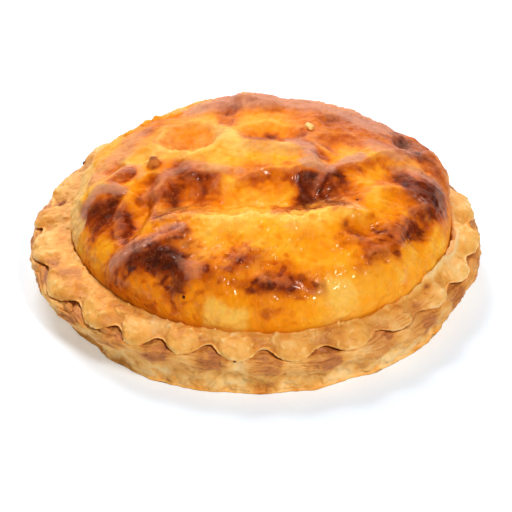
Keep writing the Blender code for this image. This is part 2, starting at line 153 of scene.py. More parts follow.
# Hollows and swellings: x, y, half width, half depth, turn in degrees, height.
SWELLS = {
    "left_bowl": (-14.6, 7.6, 8.4, 8.6, -12, -3.8),
    "middle_bowl": (4.0, 9.2, 8.6, 6.4, -4, -3.4),
    "far_groove": (-6.0, 21.5, 3.8, 9.5, 4, -1.3),
    "left_gully": (-27.2, -17.5, 4.2, 8.6, -12, -2.8),
    "left_notch": (-25.0, -9.0, 3.8, 3.0, 18, -1.7),
    "left_eye": (-33.0, 0.4, 2.8, 3.4, -20, -1.5),
    "knuckle_side": (-26.8, 2.0, 3.6, 4.2, 10, -1.2),
    "right_slope": (29, -4.0, 8.5, 6.0, 24, -2.2),
    "right_hollow": (20, 5.5, 6.0, 6.0, 20, -2.2),
    "far_right_dent": (36.6, 15, 4.2, 6.0, -24, -2.0),
    "side_flute": (36.6, -19.5, 3.0, 8.0, -28, -2.0),
    "right_dimple": (24, -24.2, 6.0, 3.4, 20, -1.6),
    "front_dip": (-6, -31.0, 7.5, 4.2, 12, -0.9),
    "front_dip_right": (12, -31.5, 8.5, 5.0, -8, -1.0),
    "left_knuckle": (-34.8, -9.6, 5.6, 6.2, 0, 1.8),
    "small_knuckle": (-31.0, -4.4, 4.0, 3.4, 20, 2.0),
    "right_knuckle": (39.0, -4.2, 6.2, 6.6, 0, 1.7),
    "far_knuckle": (-1, 27, 12, 9, 0, 1.2),
    "far_right_shoulder": (42.0, 14.5, 14, 8, -68, 2.0),
    "far_right_dip": (16, 32, 9, 6, -20, -0.7),
    "far_left_dip": (-17.5, 28, 9.5, 8, 20, -1.8),
    "nub": (-22.9, -3.4, 1.6, 1.6, 0, 2.4),
    "spike": (-38.4, -7.8, 1.8, 2.2, 30, 1.6),
}
UNEVEN = ((11.0, 0.9), (5.0, 0.5))
SECTION_POINTS = 400

# ---------------------------------------------------------------- what only the looks have

# Scorch marks on the skin, with some painted shade among them, placed as on the smooth dome: how brown (0 to 1),
# half width, softness, points (x, y).
SCORCH = {
    "shelf_face": (0.54, 2.6, 7.0, ((-18, -8), (-15.5, -12), (-15, -18))),
    "shelf_dark": (0.22, 0.8, 3.5, ((-18.5, -6.5), (-15, -7.5), (-12, -9))),
    "shelf_left": (0.52, 1.6, 3.6, ((-24.5, -13.5), (-21.5, -14.5), (-20.5, -19.5))),
    "shelf_right": (0.30, 1.2, 5.0, ((-9.5, -9.5), (-10.5, -14))),
    "shelf_brow": (0.30, 0.8, 3.0, ((-20, -7), (-15, -5.5), (-9, -7.8))),
    "shelf_top": (0.12, 1.0, 3.0, ((-23, -7), (-18, -3.8), (-12, -3.6), (-7, -6))),
    "middle_face": (0.46, 1.8, 4.4, ((-1.5, -8), (3, -8), (8, -9))),
    "middle_low": (0.26, 1.2, 4.4, ((-1, -12), (8, -12.5))),
    "middle_top": (0.16, 1.6, 4.0, ((0, -3.6), (6, -3.4))),
    "pit_wall": (0.60, 1.4, 2.4, ((12.4, -9.4), (13, -13), (12.8, -17))),
    "pit_dark": (0.34, 0.6, 2.4, ((13, -10), (12.8, -16), (11, -19.5))),
    "pit_low": (0.46, 1.0, 2.4, ((9.5, -20), (13, -18.4), (16, -17.4))),
    "pit_floor": (0.56, 1.8, 3.4, ((17.6, -9.4), (18, -11.5), (17.2, -15.5))),
    "pit_right": (0.36, 1.4, 4.0, ((21, -6.5), (21.5, -11), (21, -15.5))),
    "pit_foot": (0.5, 0.6, 1.8, ((5, -21.8), (9.5, -21.2), (13.5, -18.8))),
    "arc_top": (0.22, 1.0, 3.0, ((11, 3), (13.5, 0))),
    "arc_front": (0.34, 1.2, 3.2, ((18.5, -6), (22.5, -3.8), (24.4, -1.8))),
    "right_hollow": (0.46, 1.4, 3.4, ((11.6, 8), (14.4, 5), (16.4, 1))),
    "scar": (0.60, 1.6, 2.8, ((-39, -10.5), (-37, -13), (-35.4, -16.5))),
    "scar_dark": (0.42, 0.8, 2.0, ((-38.6, -12), (-36.4, -15), (-36.7, -16.4))),
    "scar_side": (0.40, 1.4, 3.0, ((-33, -13), (-31.5, -18.5))),
    "scar_brow": (0.44, 1.3, 2.4, ((-36, -8), (-34, -9.5), (-32.4, -11))),
    "scar_tail": (0.50, 0.9, 3.2, ((-32.6, -15.5), (-31, -19), (-29.8, -22.5))),
    "small_knuckle": (0.60, 1.2, 2.2, ((-32, -3.4), (-30.4, -2.2), (-29.6, -4))),
    "knuckle_tail": (0.18, 0.8, 2.6, ((-27, -6), (-23.5, -8.5))),
    "nub_side": (0.30, 0.6, 1.6, ((-23, -2.6), (-22.6, -1))),
    "nub_top": (0.70, 0.3, 0.9, ((-23.6, 1.0), (-22.6, 1.2))),
    "left_slope": (0.2, 2.0, 5.0, ((-27, 10), (-22, 5), (-18, 0))),
    "left_glow": (0.22, 3.0, 6.0, ((-33, -12), (-28, -22), (-24, -27))),
    "burn": (0.66, 1.4, 3.0, ((-27, -29.4), (-22, -30.6), (-18.4, -32.6), (-17, -36))),
    "burn_dark": (0.38, 0.8, 2.4, ((-23.6, -29), (-19.4, -30.5), (-17.4, -34.4))),
    "burn_core": (0.7, 1.8, 3.0, ((-21.4, -31.6), (-19.4, -34.4))),
    "burn_side": (0.58, 1.6, 3.6, ((-17.2, -27.5), (-15.4, -32.5))),
    "burn_brow": (0.36, 1.0, 2.6, ((-30, -27.5), (-25, -26.8), (-18, -26.6))),
    "burn_toe": (0.50, 1.0, 2.8, ((-15.5, -36.8), (-11.5, -37))),
    "burn_streak": (0.36, 0.7, 2.0, ((-33, -26.5), (-29, -29.5))),
    "burn_glow": (0.30, 2.0, 5.0, ((-30, -31), (-23, -36), (-14, -39))),
    "gully_spot": (0.42, 0.8, 2.4, ((-31, -21.5), (-29, -23.8))),
    "gully_crease": (0.40, 0.15, 0.9, ((-22.6, -14), (-22.8, -24))),
    # Painted shade at the foot on the left, where it turns in under the shell.
    "foot_left_shade": (0.30, 1.4, 3.0, ((-40.5, -19), (-37, -26), (-32.5, -31.5), (-27, -36.5), (-18, -41))),
    "chin": (0.52, 1.8, 5.0, ((-8, -38.8), (-2, -37.4), (2, -38), (5, -39))),
    "chin_line": (0.60, 0.4, 1.8, ((-4, -40.4), (3, -40), (9, -40.2), (14.5, -39.8))),
    "chin_foot": (0.36, 1.0, 3.4, ((1, -42), (8, -42.2))),
    "chin_top": (0.26, 1.0, 3.6, ((-4, -34.5), (-1, -31.5))),
    "chin_right": (0.30, 0.8, 2.6, ((7, -38), (14, -37.6))),
    "right_knuckle": (0.80, 2.2, 3.4, ((35.5, -4.6), (38.5, -5.4), (41, -4.4), (41, -0.8))),
    "right_knuckle_dark": (0.55, 0.8, 2.2, ((38, -3), (41.5, -4.5), (42, -7.5))),
    "right_knuckle_foot": (0.58, 1.2, 3.0, ((36.5, -8.5), (40.5, -10))),
    "right_knuckle_side": (0.42, 1.4, 3.6, ((36.4, -11.5), (34, -8.4), (31.5, -7.5))),
    "cheek": (0.38, 1.0, 3.2, ((38.6, -12), (37, -17), (34.8, -20.5))),
    "cheek_dark": (0.40, 1.0, 2.8, ((35.2, -19), (32.4, -22.4))),
    "cheek_glow": (0.28, 2.0, 4.6, ((37.5, -14), (33, -20))),
    "jaw": (0.36, 1.0, 3.0, ((26, -27), (31, -23))),
    "far_edge": (0.60, 1.6, 4.0, ((41.5, 9), (42.5, 16), (42.5, 25), (41, 31))),
    "far_patch": (0.62, 1.2, 2.4, ((33.2, 13.8), (36, 14.6), (37.6, 12))),
    "far_patch_low": (0.62, 1.1, 2.4, ((34.6, 9.8), (37.5, 10.5))),
    "far_patch_back": (0.40, 1.2, 4.0, ((35, 19), (38.5, 26))),
    "groove": (0.58, 1.5, 2.8, ((-6.2, 15), (-6.2, 22), (-6.6, 30), (-6.8, 40))),
    "rear": (0.50, 4.0, 8.0, ((4, 27), (15, 23), (25, 19), (33, 15))),
    "rear_right": (0.44, 4.0, 7.0, ((16, 14), (24, 13), (30, 20))),
    "rear_left": (0.34, 2.5, 5.0, ((-20, 21), (-12, 24))),
    "left_flank": (0.26, 2.0, 5.0, ((-36, 2), (-33, 7), (-30, 12), (-27, 18), (-24, 24))),
    "left_fleck": (0.42, 0.7, 2.4, ((-26.5, 15), (-26, 17))),
    "right_slope": (0.26, 2.4, 5.0, ((22, 9), (31, 2), (38, 2.4))),
    "right_wash": (0.14, 4.0, 6.0, ((20, -12), (32, -14))),
    "right_flank": (0.45, 1.6, 4.0, ((41.5, -11), (43.4, -6), (44.6, 2), (45, 10))),
    # Painted shade along the back of the arc and inside the left bowl's rim.
    "middle_bowl": (0.42, 0.9, 3.0, ((-2, 8.4), (1.4, 7.4), (5, 7.2))),
    "arc_shade": (0.42, 0.5, 1.3, ((-2, 7.0), (3, 6.7), (8, 6.6), (11.6, 5.4), (14.2, 3.2), (16.4, -0.8))),
    "bowl_shade": (0.16, 0.6, 1.6, ((-20.4, 12), (-19, 7), (-16, 4.6), (-12, 5))),
    "left_bowl": (0.12, 1.0, 4.0, ((-17, 6), (-12, 5))),
    "dimple_rim": (0.34, 0.5, 2.0, ((18, -21), (20, -17.8), (24, -17.2))),
    "dimple_low": (0.34, 0.5, 2.2, ((20, -24.6), (25, -25), (29, -23.6))),
    "dot_a": (0.66, 1.0, 2.8, ((22.6, -27.4), (20, -28.6))),
    "dot_b": (0.60, 1.0, 2.8, ((26.4, -29), (28.6, -28.2), (30.6, -26))),
    "dot_c": (0.42, 1.0, 3.0, ((24, -33), (28, -30), (31, -28))),
    "dot_d": (0.24, 0.7, 2.0, ((-11, -33), (-9, -33.2))),
}
# Where it is all but charred, in the same way.
CHAR = {
    "scar": (0.7, 0.8, 2.2, ((-37.8, -12.4), (-36.2, -15.2))),
    "scar_top": (0.5, 0.6, 2.0, ((-36, -9.4), (-33.8, -12))),
    "burn": (0.85, 1.0, 3.0, ((-26.4, -29.2), (-21.6, -30.8), (-18, -35))),
    "burn_low": (0.7, 0.6, 2.2, ((-18.4, -33), (-17, -37.4))),
    "pit_left": (0.9, 0.7, 2.2, ((11.4, -9.4), (12, -13.4))),
    "pit_right": (0.6, 0.8, 2.6, ((18.4, -9.4), (18.2, -14))),
    "right_knuckle": (1.0, 1.4, 2.6, ((36, -4.4), (40, -5.6), (42.2, -2))),
    "knuckle_foot": (0.6, 0.6, 2.0, ((40.4, -8.4), (41.4, -11))),
    "far": (0.8, 0.6, 1.8, ((33.4, 20), (36.6, 16.4))),
    "far_low": (0.8, 0.6, 1.8, ((35, 13.4), (39.5, 12.8))),
    "small_knuckle": (0.6, 0.6, 2.2, ((-31.8, -2.4), (-29.4, -2.8))),
    "chin": (0.4, 0.4, 1.6, ((6, -39.6), (13, -39.4))),
    "shelf": (0.3, 0.6, 2.6, ((-18, -7.4), (-14.4, -7.8))),
}
CHAR_SHARE = 0.15
# Where the skin is a deep amber, in the same way; in the hollows this is partly painted shade.
AMBER_AND_SHADE = {
    "left_bowl": (0.35, 2.0, 5.5, ((-17, 11), (-14.4, 6.5), (-11.6, 9))),
    "middle_bowl": (0.7, 1.6, 5.5, ((0, 9.5), (8, 9))),
    "gully": (0.7, 1.6, 4.0, ((-27, -10), (-27, -20))),
    "middle_face": (0.8, 2.0, 4.0, ((-1, -9), (9, -9))),
    "foot": (0.8, 2.0, 5.0, ((-34, -28), (-24, -38), (-12, -42), (4, -43))),
    "front_left": (0.5, 3.0, 6.0, ((-8, -30), (-20, -26))),
    "right_dimple": (0.7, 2.0, 4.0, ((22, -21), (30, -19))),
    "right_front": (0.8, 3.0, 6.0, ((14, -29), (30, -26), (35, -22))),
    "right_foot": (0.8, 2.0, 5.0, ((12, -41), (26, -35), (36, -26))),
    "gully_right": (0.8, 2.0, 4.0, ((-24, -18), (-25, -24))),
    "right_slope": (0.6, 3.0, 6.0, ((24, -8), (33, -14))),
    "rear": (0.5, 4.0, 7.0, ((-14, 18), (0, 20), (14, 18))),
}
# Where the skin stayed pale, and painted highlights on crest lines and painted glare on the foot, in the same way.
PALE_AND_HIGHLIGHT = {
    "finger": (0.9, 1.3, 2.6, ((-8, 11), (-6, 8), (-5, 5), (-4, 1))),
    "bowl_front": (0.6, 1.8, 3.4, ((-16, 0.5), (-9, -1), (-9, -5))),
    "plateau": (0.25, 1.4, 3.0, ((0, 3), (6, 2), (11, 0))),
    "trough": (0.2, 1.8, 4.0, ((-7, -15.5), (-1, -17.5), (5, -18))),
    "fold_front": (0.4, 2.4, 4.0, ((-4, -24.5), (-12, -25.5), (-12, -30))),
    # Painted highlight along the fold's crest.
    "fold_crest": (0.5, 0.5, 1.8, ((-21, -20.6), (-15, -20), (-10, -22.4), (-4, -24), (2, -22.6), (8, -24),
                                   (12, -20.6), (17, -18.4), (22, -17.6))),
    "fold_right": (0.4, 1.6, 3.4, ((8, -25), (14, -24), (20, -19))),
    # Painted glare on the front patch and on the foot.
    "front_patch": (0.9, 0.8, 2.8, ((16, -40.4), (21, -38.6))),
    "foot": (0.9, 0.6, 1.3, ((-10.2, -42.7), (-8.8, -43.2), (-5.6, -43.8), (-3, -44.2))),
    # Painted highlights along the bowls' rims.
    "bowl_rim": (0.6, 0.2, 1.1, ((-20.6, 9), (-19.4, 5.4), (-17, 3.2), (-14.2, 2.4), (-11, 3.6), (-9.2, 7),
                                 (-7.6, 11))),
    "arc_rim": (0.7, 0.2, 1.2, ((-3.4, 5), (1, 5.4), (5, 5.4), (9, 4.6))),
    "foot_right": (0.35, 1.0, 3.0, ((16, -40.5), (22, -38), (29, -33.5), (36, -26))),
    "left_slope": (0.5, 1.6, 4.0, ((-20, 4), (-25, 2))),
}
# The strip on the far left where pastry climbs up the filling, in the same way.
BARE = (0.95, 0.9, 1.8, ((-41.4, -11.5), (-41.9, -6.8), (-41.6, -3.4), (-40.9, -0.4), (-40.4, 3), (-40.6, 8),
                         (-40, 13)))
# Dry skin along the crests, with a painted mauve sheen of reflected light on it, in the same way.
DRY_SHEEN = {
    "arc": (1.0, 0.6, 1.6, ((8.2, 6.1), (10.6, 4.9), (13, 1.8), (14, -1.6), (14, -4.6), (16.9, -5), (20.9, -2.6),
                            (24.5, 1))),
    "arc_cap": (1.0, 1.4, 1.2, ((12.4, -4), (16.8, -5.6))),
    "pit": (0.4, 0.5, 1.4, ((14.6, -8), (14.8, -14))),
    "shelf": (0.6, 0.7, 2.0, ((-25, -13), (-21.6, -9), (-19.6, -5.6), (-14, -4.2), (-9, -6), (-4, -8))),
    "scar": (1.0, 0.8, 1.6, ((-40, -10.4), (-39.2, -8), (-38, -6.4), (-36.6, -4.8), (-33.2, -6.2), (-30.8, -9))),
    "small_knuckle": (0.6, 0.8, 1.8, ((-32.6, -0.6), (-29.6, 0), (-26.6, -4))),
    "burn": (0.8, 0.5, 1.6, ((-31.6, -27.4), (-26.6, -27), (-22.9, -26.2), (-20, -24.6), (-17, -25.4))),
    "burn_low": (0.5, 0.6, 1.6, ((-17, -33.6), (-13, -36))),
    "knuckle": (0.7, 1.0, 2.6, ((34, -1), (38, 1.6), (42, 1.8))),
    "knuckle_edge": (0.6, 0.6, 1.6, ((43, -2), (43.6, -7))),
    "far": (0.6, 1.2, 3.0, ((28, 8), (33, 6), (36, 12), (38, 18))),
    "rear": (0.8, 3.5, 6.0, ((-12, 28), (4, 30), (18, 28), (28, 22))),
    "left": (0.5, 1.6, 3.4, ((-36, 1), (-31, 8), (-28, 16))),
    "left_bowl": (0.22, 4.0, 5.0, ((-18, 12), (-13, 10))),
    "plateau": (0.4, 1.5, 3.0, ((0, 3), (6, 2), (10, 0))),
}
SCORCH_SHARE = 0.78
# Where the foot sinks behind the shell into a gap, painted with an olive shade: bearing, spread, level.
GAP_SHADES = ((-56, 20, 1.0), (-25, 16, 0.35), (4, 10, 0.25), (24, 10, 0.5), (50, 16, 0.5), (76, 12, 0.4))
GAP_HEIGHT, GAP_FADE = 15.5, 1.2
PHOTO_ELEVATION = 34.17  # degrees: the marks are placed as they seem to lie on the smooth dome from there

# Wet spots that glint, in the same way.
WET = {
    "pit": (1.0, 0.9, 1.4, ((15.6, -12.5), (15.8, -17))),
    "dimple": (0.8, 1.0, 1.6, ((22.5, -19.6), (26, -21.5), (28, -23))),
    "dimple_low": (0.8, 0.7, 1.2, ((20.8, -31), (22, -31))),
    "jaw": (0.8, 0.7, 1.2, ((26, -33), (28, -31))),
    "cheek": (0.8, 0.6, 1.2, ((33, -26), (35, -23))),
    "brow": (0.8, 0.8, 1.2, ((36, -9), (38.5, -9.5))),
    "chin": (1.0, 0.6, 1.0, ((8, -41.4), (13, -41.2))),
    "chin_left": (0.9, 0.6, 1.0, ((-4, -41.6), (-2, -41.3))),
    "front": (0.6, 1.0, 1.6, ((4, -34), (8, -36))),
    "shelf": (0.7, 0.5, 0.9, ((-14, -8.5), (-13, -9))),
    "middle": (0.9, 0.6, 0.9, ((2.2, -7.6), (4.4, -8.0))),
    "face": (0.7, 0.5, 0.9, ((9, -10), (9.6, -10.2))),
    "front_patch": (0.6, 1.0, 1.8, ((15, -40.4), (20, -39.4))),
    "left_ear": (0.6, 0.6, 1.0, ((-30, -9.4), (-29, -10))),
    "burn": (0.6, 0.6, 1.2, ((-27, -35), (-24, -37))),
    "foot": (0.5, 0.5, 1.0, ((-9.6, -42.8), (-6.4, -43.6))),
}
TOP_FROM, TOP_ROOM = 35.5, 0.85  # the height from which the relief flattens off, and how far it can still rise
# Places from the middle towards the front, in y, from where the skin glints, is flecked and has wet pimples, and
# from where it is browner, and drier with more painted mauve sheen, towards the back.
GLINT_FROM, FLECKS_FROM, WET_PIMPLES_FROM, REAR_BROWN_FROM, REAR_SHEEN_FROM = -18, -14, -8, 12, -8
# Scattered bumps under the skin: how many, half length, half width, and a seed.
GRAINS = (900, 3.2, 1.15, 11)
PIMPLES = (2200, 0.6, 0.5, 12)

# Small lumps on the skin: place as it seems to lie on the smooth dome, half sizes (mm), turn, brown, pale.
SKIN_LUMPS = (
    (-15.7, -39.8, 0.35, 0.35, 0.3, 0, 1.0, 0.0), (23.3, -15.7, 0.25, 0.25, 0.25, 0, 1.0, 0.0),
    (-19.6, 25.6, 2.2, 0.7, 0.9, 20, 0.3, 0.3), (-23.6, 25.4, 1.6, 0.6, 1.1, -15, 0.25, 0.4),
    (-26.4, 24.0, 1.4, 0.6, 0.8, 30, 0.2, 0.5), (-30.4, 20.6, 1.2, 0.7, 0.7, 10, 0.2, 0.5),
)
# A grain of rice that shows on the skin, in the same way, without the colours.
GRAIN = (12.9, 12.6, 0.95, 1.8, 0.5, 14)
GRAIN_BAKE = 0.22
# Small lumps on the shell: bearing, radius, height, half sizes (mm), turn, browning.
SHELL_LUMPS = (
    (-125, 51.2, 12.5, 0.6, 0.5, 0.45, 0, 0.95), (-112, 50.0, 12.8, 0.4, 0.3, 0.25, 0, 1.0),
    (-5, 51.4, 11.4, 0.3, 0.3, 0.25, 0, 1.0), (-75, 52.3, 9.8, 1.9, 0.9, 1.5, 0, 0.55),
    (-55, 51.6, 10.4, 1.7, 0.8, 1.0, 0, 0.6), (-41, 51.3, 10.8, 1.5, 0.8, 0.9, 0, 0.6),
)
# A thin flake that curls up from the rim on the right: x, y, height.
CURL = (0.35, 0.5, 0.15, ((47.6, -5.0, 0.2), (46.9, -9.5, 0.9), (46.2, -13.0, 1.1), (44.6, -15.8, 0.9),
                          (42.6, -17.4, 0.3)))
# Where the rim's torn edge stands up against the filling, bearing and spread, and how far.
FLAP_SPAN, FLAP_RISE = (61, 10), 1.6
# How far the foot is drawn in at the front, and at which bearing and spread.
FOOT_TUCK, FOOT_TUCK_SPAN = 0.9, (2, 12)
SEAM_CLOSED = 0.6  # how far the wall rises into the underside of the lobes
LEVEL_ONLY = (1.0, 1.0, 0.0)  # for noise that is the same at every height
STRATA_SQUEEZE = 0.1  # thickness of a layer as a share of its length
DARKEST, DARKER = 0.68, 0.3  # browning of the wall from which it darkens more slowly, and how slowly
# Marks on the shell: bearing, radius, height, half size, level. Holes are in millimetres, spots in shares of
# browning.
WALL_HOLES = ((-69, 52.4, 9.0, 0.5, -1.0), (-56, 51.0, 11.4, 1.1, -1.0), (-43, 50.6, 11.6, 1.1, -0.9),
              (-29, 50.4, 11.8, 1.1, -0.8))
WALL_SPOTS = ((-69, 52.4, 9.0, 0.6, 0.6), (-56, 51.2, 11.4, 1.3, 0.4), (-43, 50.8, 11.6, 1.3, 0.35),
              (-29, 50.6, 11.8, 1.2, 0.3), (63, 52.4, 8.0, 3.0, 0.1), (2, 48.8, 1.2, 2.4, 0.35),
              (17, 48.8, 2.6, 1.8, 0.3), (-22, 49.0, 3.2, 1.6, 0.35), (30, 49.2, 3.4, 2.6, 0.3))
# How much darker or lighter the wall and the rim are baked: bearing, spread, share.
WALL_TONES = ((0, 16, 0.05), (40, 14, -0.06))
RIM_TONES = ((80, 24, -0.17), (118, 16, -0.06), (-98, 18, 0.05), (-50, 20, 0.06), (48, 14, -0.05))
LIP_HOLES = ((-103, 47.9, 12.9, 1.0, -1.6), (98, 50.6, 12.6, 0.8, -0.8))
LIP_SPOTS = ((-103, 47.9, 12.9, 1.2, 0.6), (-112, 50.4, 12.3, 0.35, 1.2), (98, 50.6, 12.6, 1.0, 0.5),
             (56, 46.6, 14.2, 1.4, 0.5), (42, 47.3, 14.0, 1.4, 0.45), (-5, 51.4, 11.4, 0.35, 1.0))

CAMERA_DISTANCE = 600.0
CAMERA_ELEVATION = 34.17  # degrees
CAMERA_AIM = 4.7  # height looked at
FOCAL_PIXELS = 2511.0
FRAME_PIXELS = 512.0
SENSOR = 36.0
FRAME_SHIFT = 1.1  # pixels
# Soft white light panels: place, width, depth, watts.
LIGHTS = {
    "top": ((-260, 400, 720), 420, 420, 4.5),
    "back": ((0, 800, 300), 1400, 400, 4.6),
    "fill": ((240, -430, 520), 150, 150, 2.9),
    "left": ((-700, -320, 280), 300, 300, 0.4),
}
BACKDROP = 0.10  # how bright the surroundings are
VIEW_GAMMA, VIEW_EXPOSURE = 0.86, 0.08
FLOOR_HALF = 3000


def lattice(points, size, seed):
    """Smooth noise between about -1 and 1, with forms about as large as size."""
    draw = np.random.default_rng(seed)
    order = draw.permutation(256)
    ways = draw.normal(size=(256, 3))
    ways /= np.linalg.norm(ways, axis=1)[:, None]
    place = points / size
    cell = np.floor(place).astype(np.int64)
    inside = place - cell
    blend = inside**3 * (inside * (inside * 6 - 15) + 10)
    total = np.zeros(len(points))
    for corner in np.ndindex(2, 2, 2):
        at = cell + corner
        code = order[(order[(order[at[:, 0] & 255] + at[:, 1]) & 255] + at[:, 2]) & 255]
        share = np.prod(np.where(corner, blend, 1 - blend), axis=1)
        total += share * np.sum(ways[code] * (inside - corner), axis=1)
    return total * 1.7


def octaves(points, size, seed, count=3, fade=0.5):
    """Noise with finer noise on it."""
    return sum(fade**k * lattice(points, size / 2**k, seed + k) for k in range(count))


def noises(points, *parts):
    """A sum of noises: the share, size and seed of each."""
    return sum(share * lattice(points, size, seed) for share, size, seed in parts)


def smooth(value):
    """An S-shaped step from 0 to 1."""
    value = np.clip(value, 0, 1)
    return value * value * (3 - 2 * value)


# ---------------------------------------------------------------- meshes

def new_mesh(name, points, quads, triangles=()):
    """A smooth mesh object from points in millimetres."""
    mesh = bpy.data.meshes.new(name)
    faces = [tuple(face) for face in np.asarray(quads).tolist()] + [tuple(face) for face in triangles]
    mesh.from_pydata((points * MM).tolist(), [], faces)
    mesh.shade_smooth()
    mesh.update()
    made = bpy.data.objects.new(name, mesh)
    bpy.context.scene.collection.objects.link(made)
    return made


def paint(piece, name, values):
    """Stores one number for each point, for the material to read."""
    layer = piece.data.attributes.new(name, "FLOAT", "POINT")
    layer.data.foreach_set("value", np.asarray(values, dtype=np.float32))


def grid_normals(grid, wrap=False):
    """The outward normals of a grid of points."""
    if wrap:
        around = np.roll(grid, -1, axis=1) - np.roll(grid, 1, axis=1)
    else:
        around = np.gradient(grid, axis=1)
    along = np.gradient(grid, axis=0)
    normal = np.cross(around, along)
    return normal / np.maximum(np.linalg.norm(normal, axis=2, keepdims=True), 1e-12)


# ---------------------------------------------------------------- the filling

def crease(x, y, behind, before, rounding, crest):
    """Height of a fold or groove along its points, falling off on either side."""
    nearest = np.full(len(x), np.inf)
    height = np.zeros(len(x))
    for (ax, ay, ah), (bx, by, bh) in zip(crest, crest[1:]):
        run, rise = bx - ax, by - ay
        share = np.clip(((x - ax) * run + (y - ay) * rise) / (run**2 + rise**2), 0, 1)
        off_x, off_y = x - ax - share * run, y - ay - share * rise
        apart = np.hypot(off_x, off_y)
        is_behind = run * off_y - rise * off_x > 0
        width = np.where(is_behind, behind, before)
        fall = np.exp(-(np.sqrt(apart**2 + rounding**2) - rounding) / width)
        closer = apart < nearest
        nearest = np.where(closer, apart, nearest)
        height = np.where(closer, (ah + share * (bh - ah)) * fall, height)
    return height


def swell(x, y, middle_x, middle_y, half_width, half_depth, turn, height):
    """Height of a rounded hollow or swelling."""
    c, s = math.cos(math.radians(turn)), math.sin(math.radians(turn))
    along = ((x - middle_x) * c + (y - middle_y) * s) / half_width
    across = (-(x - middle_x) * s + (y - middle_y) * c) / half_depth
    return height * np.clip(1 - along**2 - across**2, 0, 1) ** 1.5


def ripple(x, y, size, seed):
    """Smooth unevenness about as large as size."""
    return np.array([noise.noise(Vector((a / size, b / size, seed))) for a, b in zip(x, y)])


def relief(x, y):
    """How far the skin stands off the smooth dome at a place on it."""
    height = sum(tall * ripple(x, y, size, size) for size, tall in UNEVEN)
    for fold in FOLDS.values():
        height += crease(x, y, *fold)
    for form in SWELLS.values():
        height += swell(x, y, *form)
    return height


def stroke(x, y, level, half_width, softness, points):
    """A soft mark along a line of points: its level at the line, dying out at its edge."""
    nearest = np.full(len(x), np.inf)
    for (ax, ay), (bx, by) in zip(points, points[1:]):
        run, rise = bx - ax, by - ay
        share = np.clip(((x - ax) * run + (y - ay) * rise) / (run**2 + rise**2), 0, 1)
        nearest = np.minimum(nearest, np.hypot(x - ax - share * run, y - ay - share * rise))
    return level * smooth(1 - (nearest - half_width) / softness)


def strongest(x, y, marks):
    """At each place, the highest level of all the marks."""
    level = np.zeros(len(x))
    for mark in marks.values():
        level = np.maximum(level, stroke(x, y, *mark))
    return level


def bearing_of(x, y):
    """Degrees from the front, round by the right."""
    return np.degrees(np.arctan2(x, -y))


def dome_section():
    """The dome's smooth section: radius and height at even steps along it, from the top to the foot."""
    turn = np.linspace(0, math.pi / 2, SECTION_POINTS)
    radius = DOME_RADIUS * np.sin(turn) ** (2 / DOME_FLAT)
    height = DOME_FOOT + DOME_RISE * np.cos(turn).clip(0) ** (2 / DOME_STEEP)
    length = np.append(0, np.cumsum(np.hypot(np.diff(radius), np.diff(height))))
    return length / length[-1], radius, height


def round_off(x, y):
    """A square grid's points moved to a disc, each square ring becoming a circle."""
    ring = np.maximum(np.abs(x), np.abs(y))
    wide = np.abs(x) >= np.abs(y)
    with np.errstate(divide="ignore", invalid="ignore"):
        eighth = np.nan_to_num(np.where(wide, y / x, x / y)) * math.pi / 4
    angle = np.where(wide, eighth + np.where(x < 0, math.pi, 0), math.pi / 2 - eighth + np.where(y < 0, math.pi, 0))
    return ring, angle


def soften(grid, cells):
    """A grid's values averaged over a square of neighbours, twice."""
    for axis in (0, 1, 0, 1):
        spread = [(0, 0), (0, 0)]
        spread[axis] = (cells + 1, cells)
        total = np.cumsum(np.pad(grid, spread, mode="edge"), axis=axis)
        width = 2 * cells + 1
        grid = (np.take(total, range(width, total.shape[axis]), axis) - np.take(
            total, range(total.shape[axis] - width), axis)) / width
    return grid


def scatter_bumps(surface, normal, count, half_length, half_width, seed):
    """Height of small bumps that lie all over the skin, such as the grains under it, for points on it."""
    draw = np.random.default_rng(seed)
    height = np.zeros(len(surface))
    chosen = draw.choice(len(surface), count, replace=False)
    for middle in chosen:
        up = normal[middle]
        way = np.cross(up, draw.normal(size=3))
        way /= np.linalg.norm(way)
        side = np.cross(up, way)
        size = draw.uniform(0.7, 1.2)
        near = np.flatnonzero(np.abs(surface - surface[middle]).max(axis=1) < half_length * 1.3)
        off = surface[near] - surface[middle]
        along, across = off @ way / (half_length * size), off @ side / (half_width * size)
        lump = np.clip(1 - along**2 - across**2, 0, 1) ** 1.2
        height[near] = np.maximum(height[near], lump * draw.uniform(0.4, 1.0))
    return height


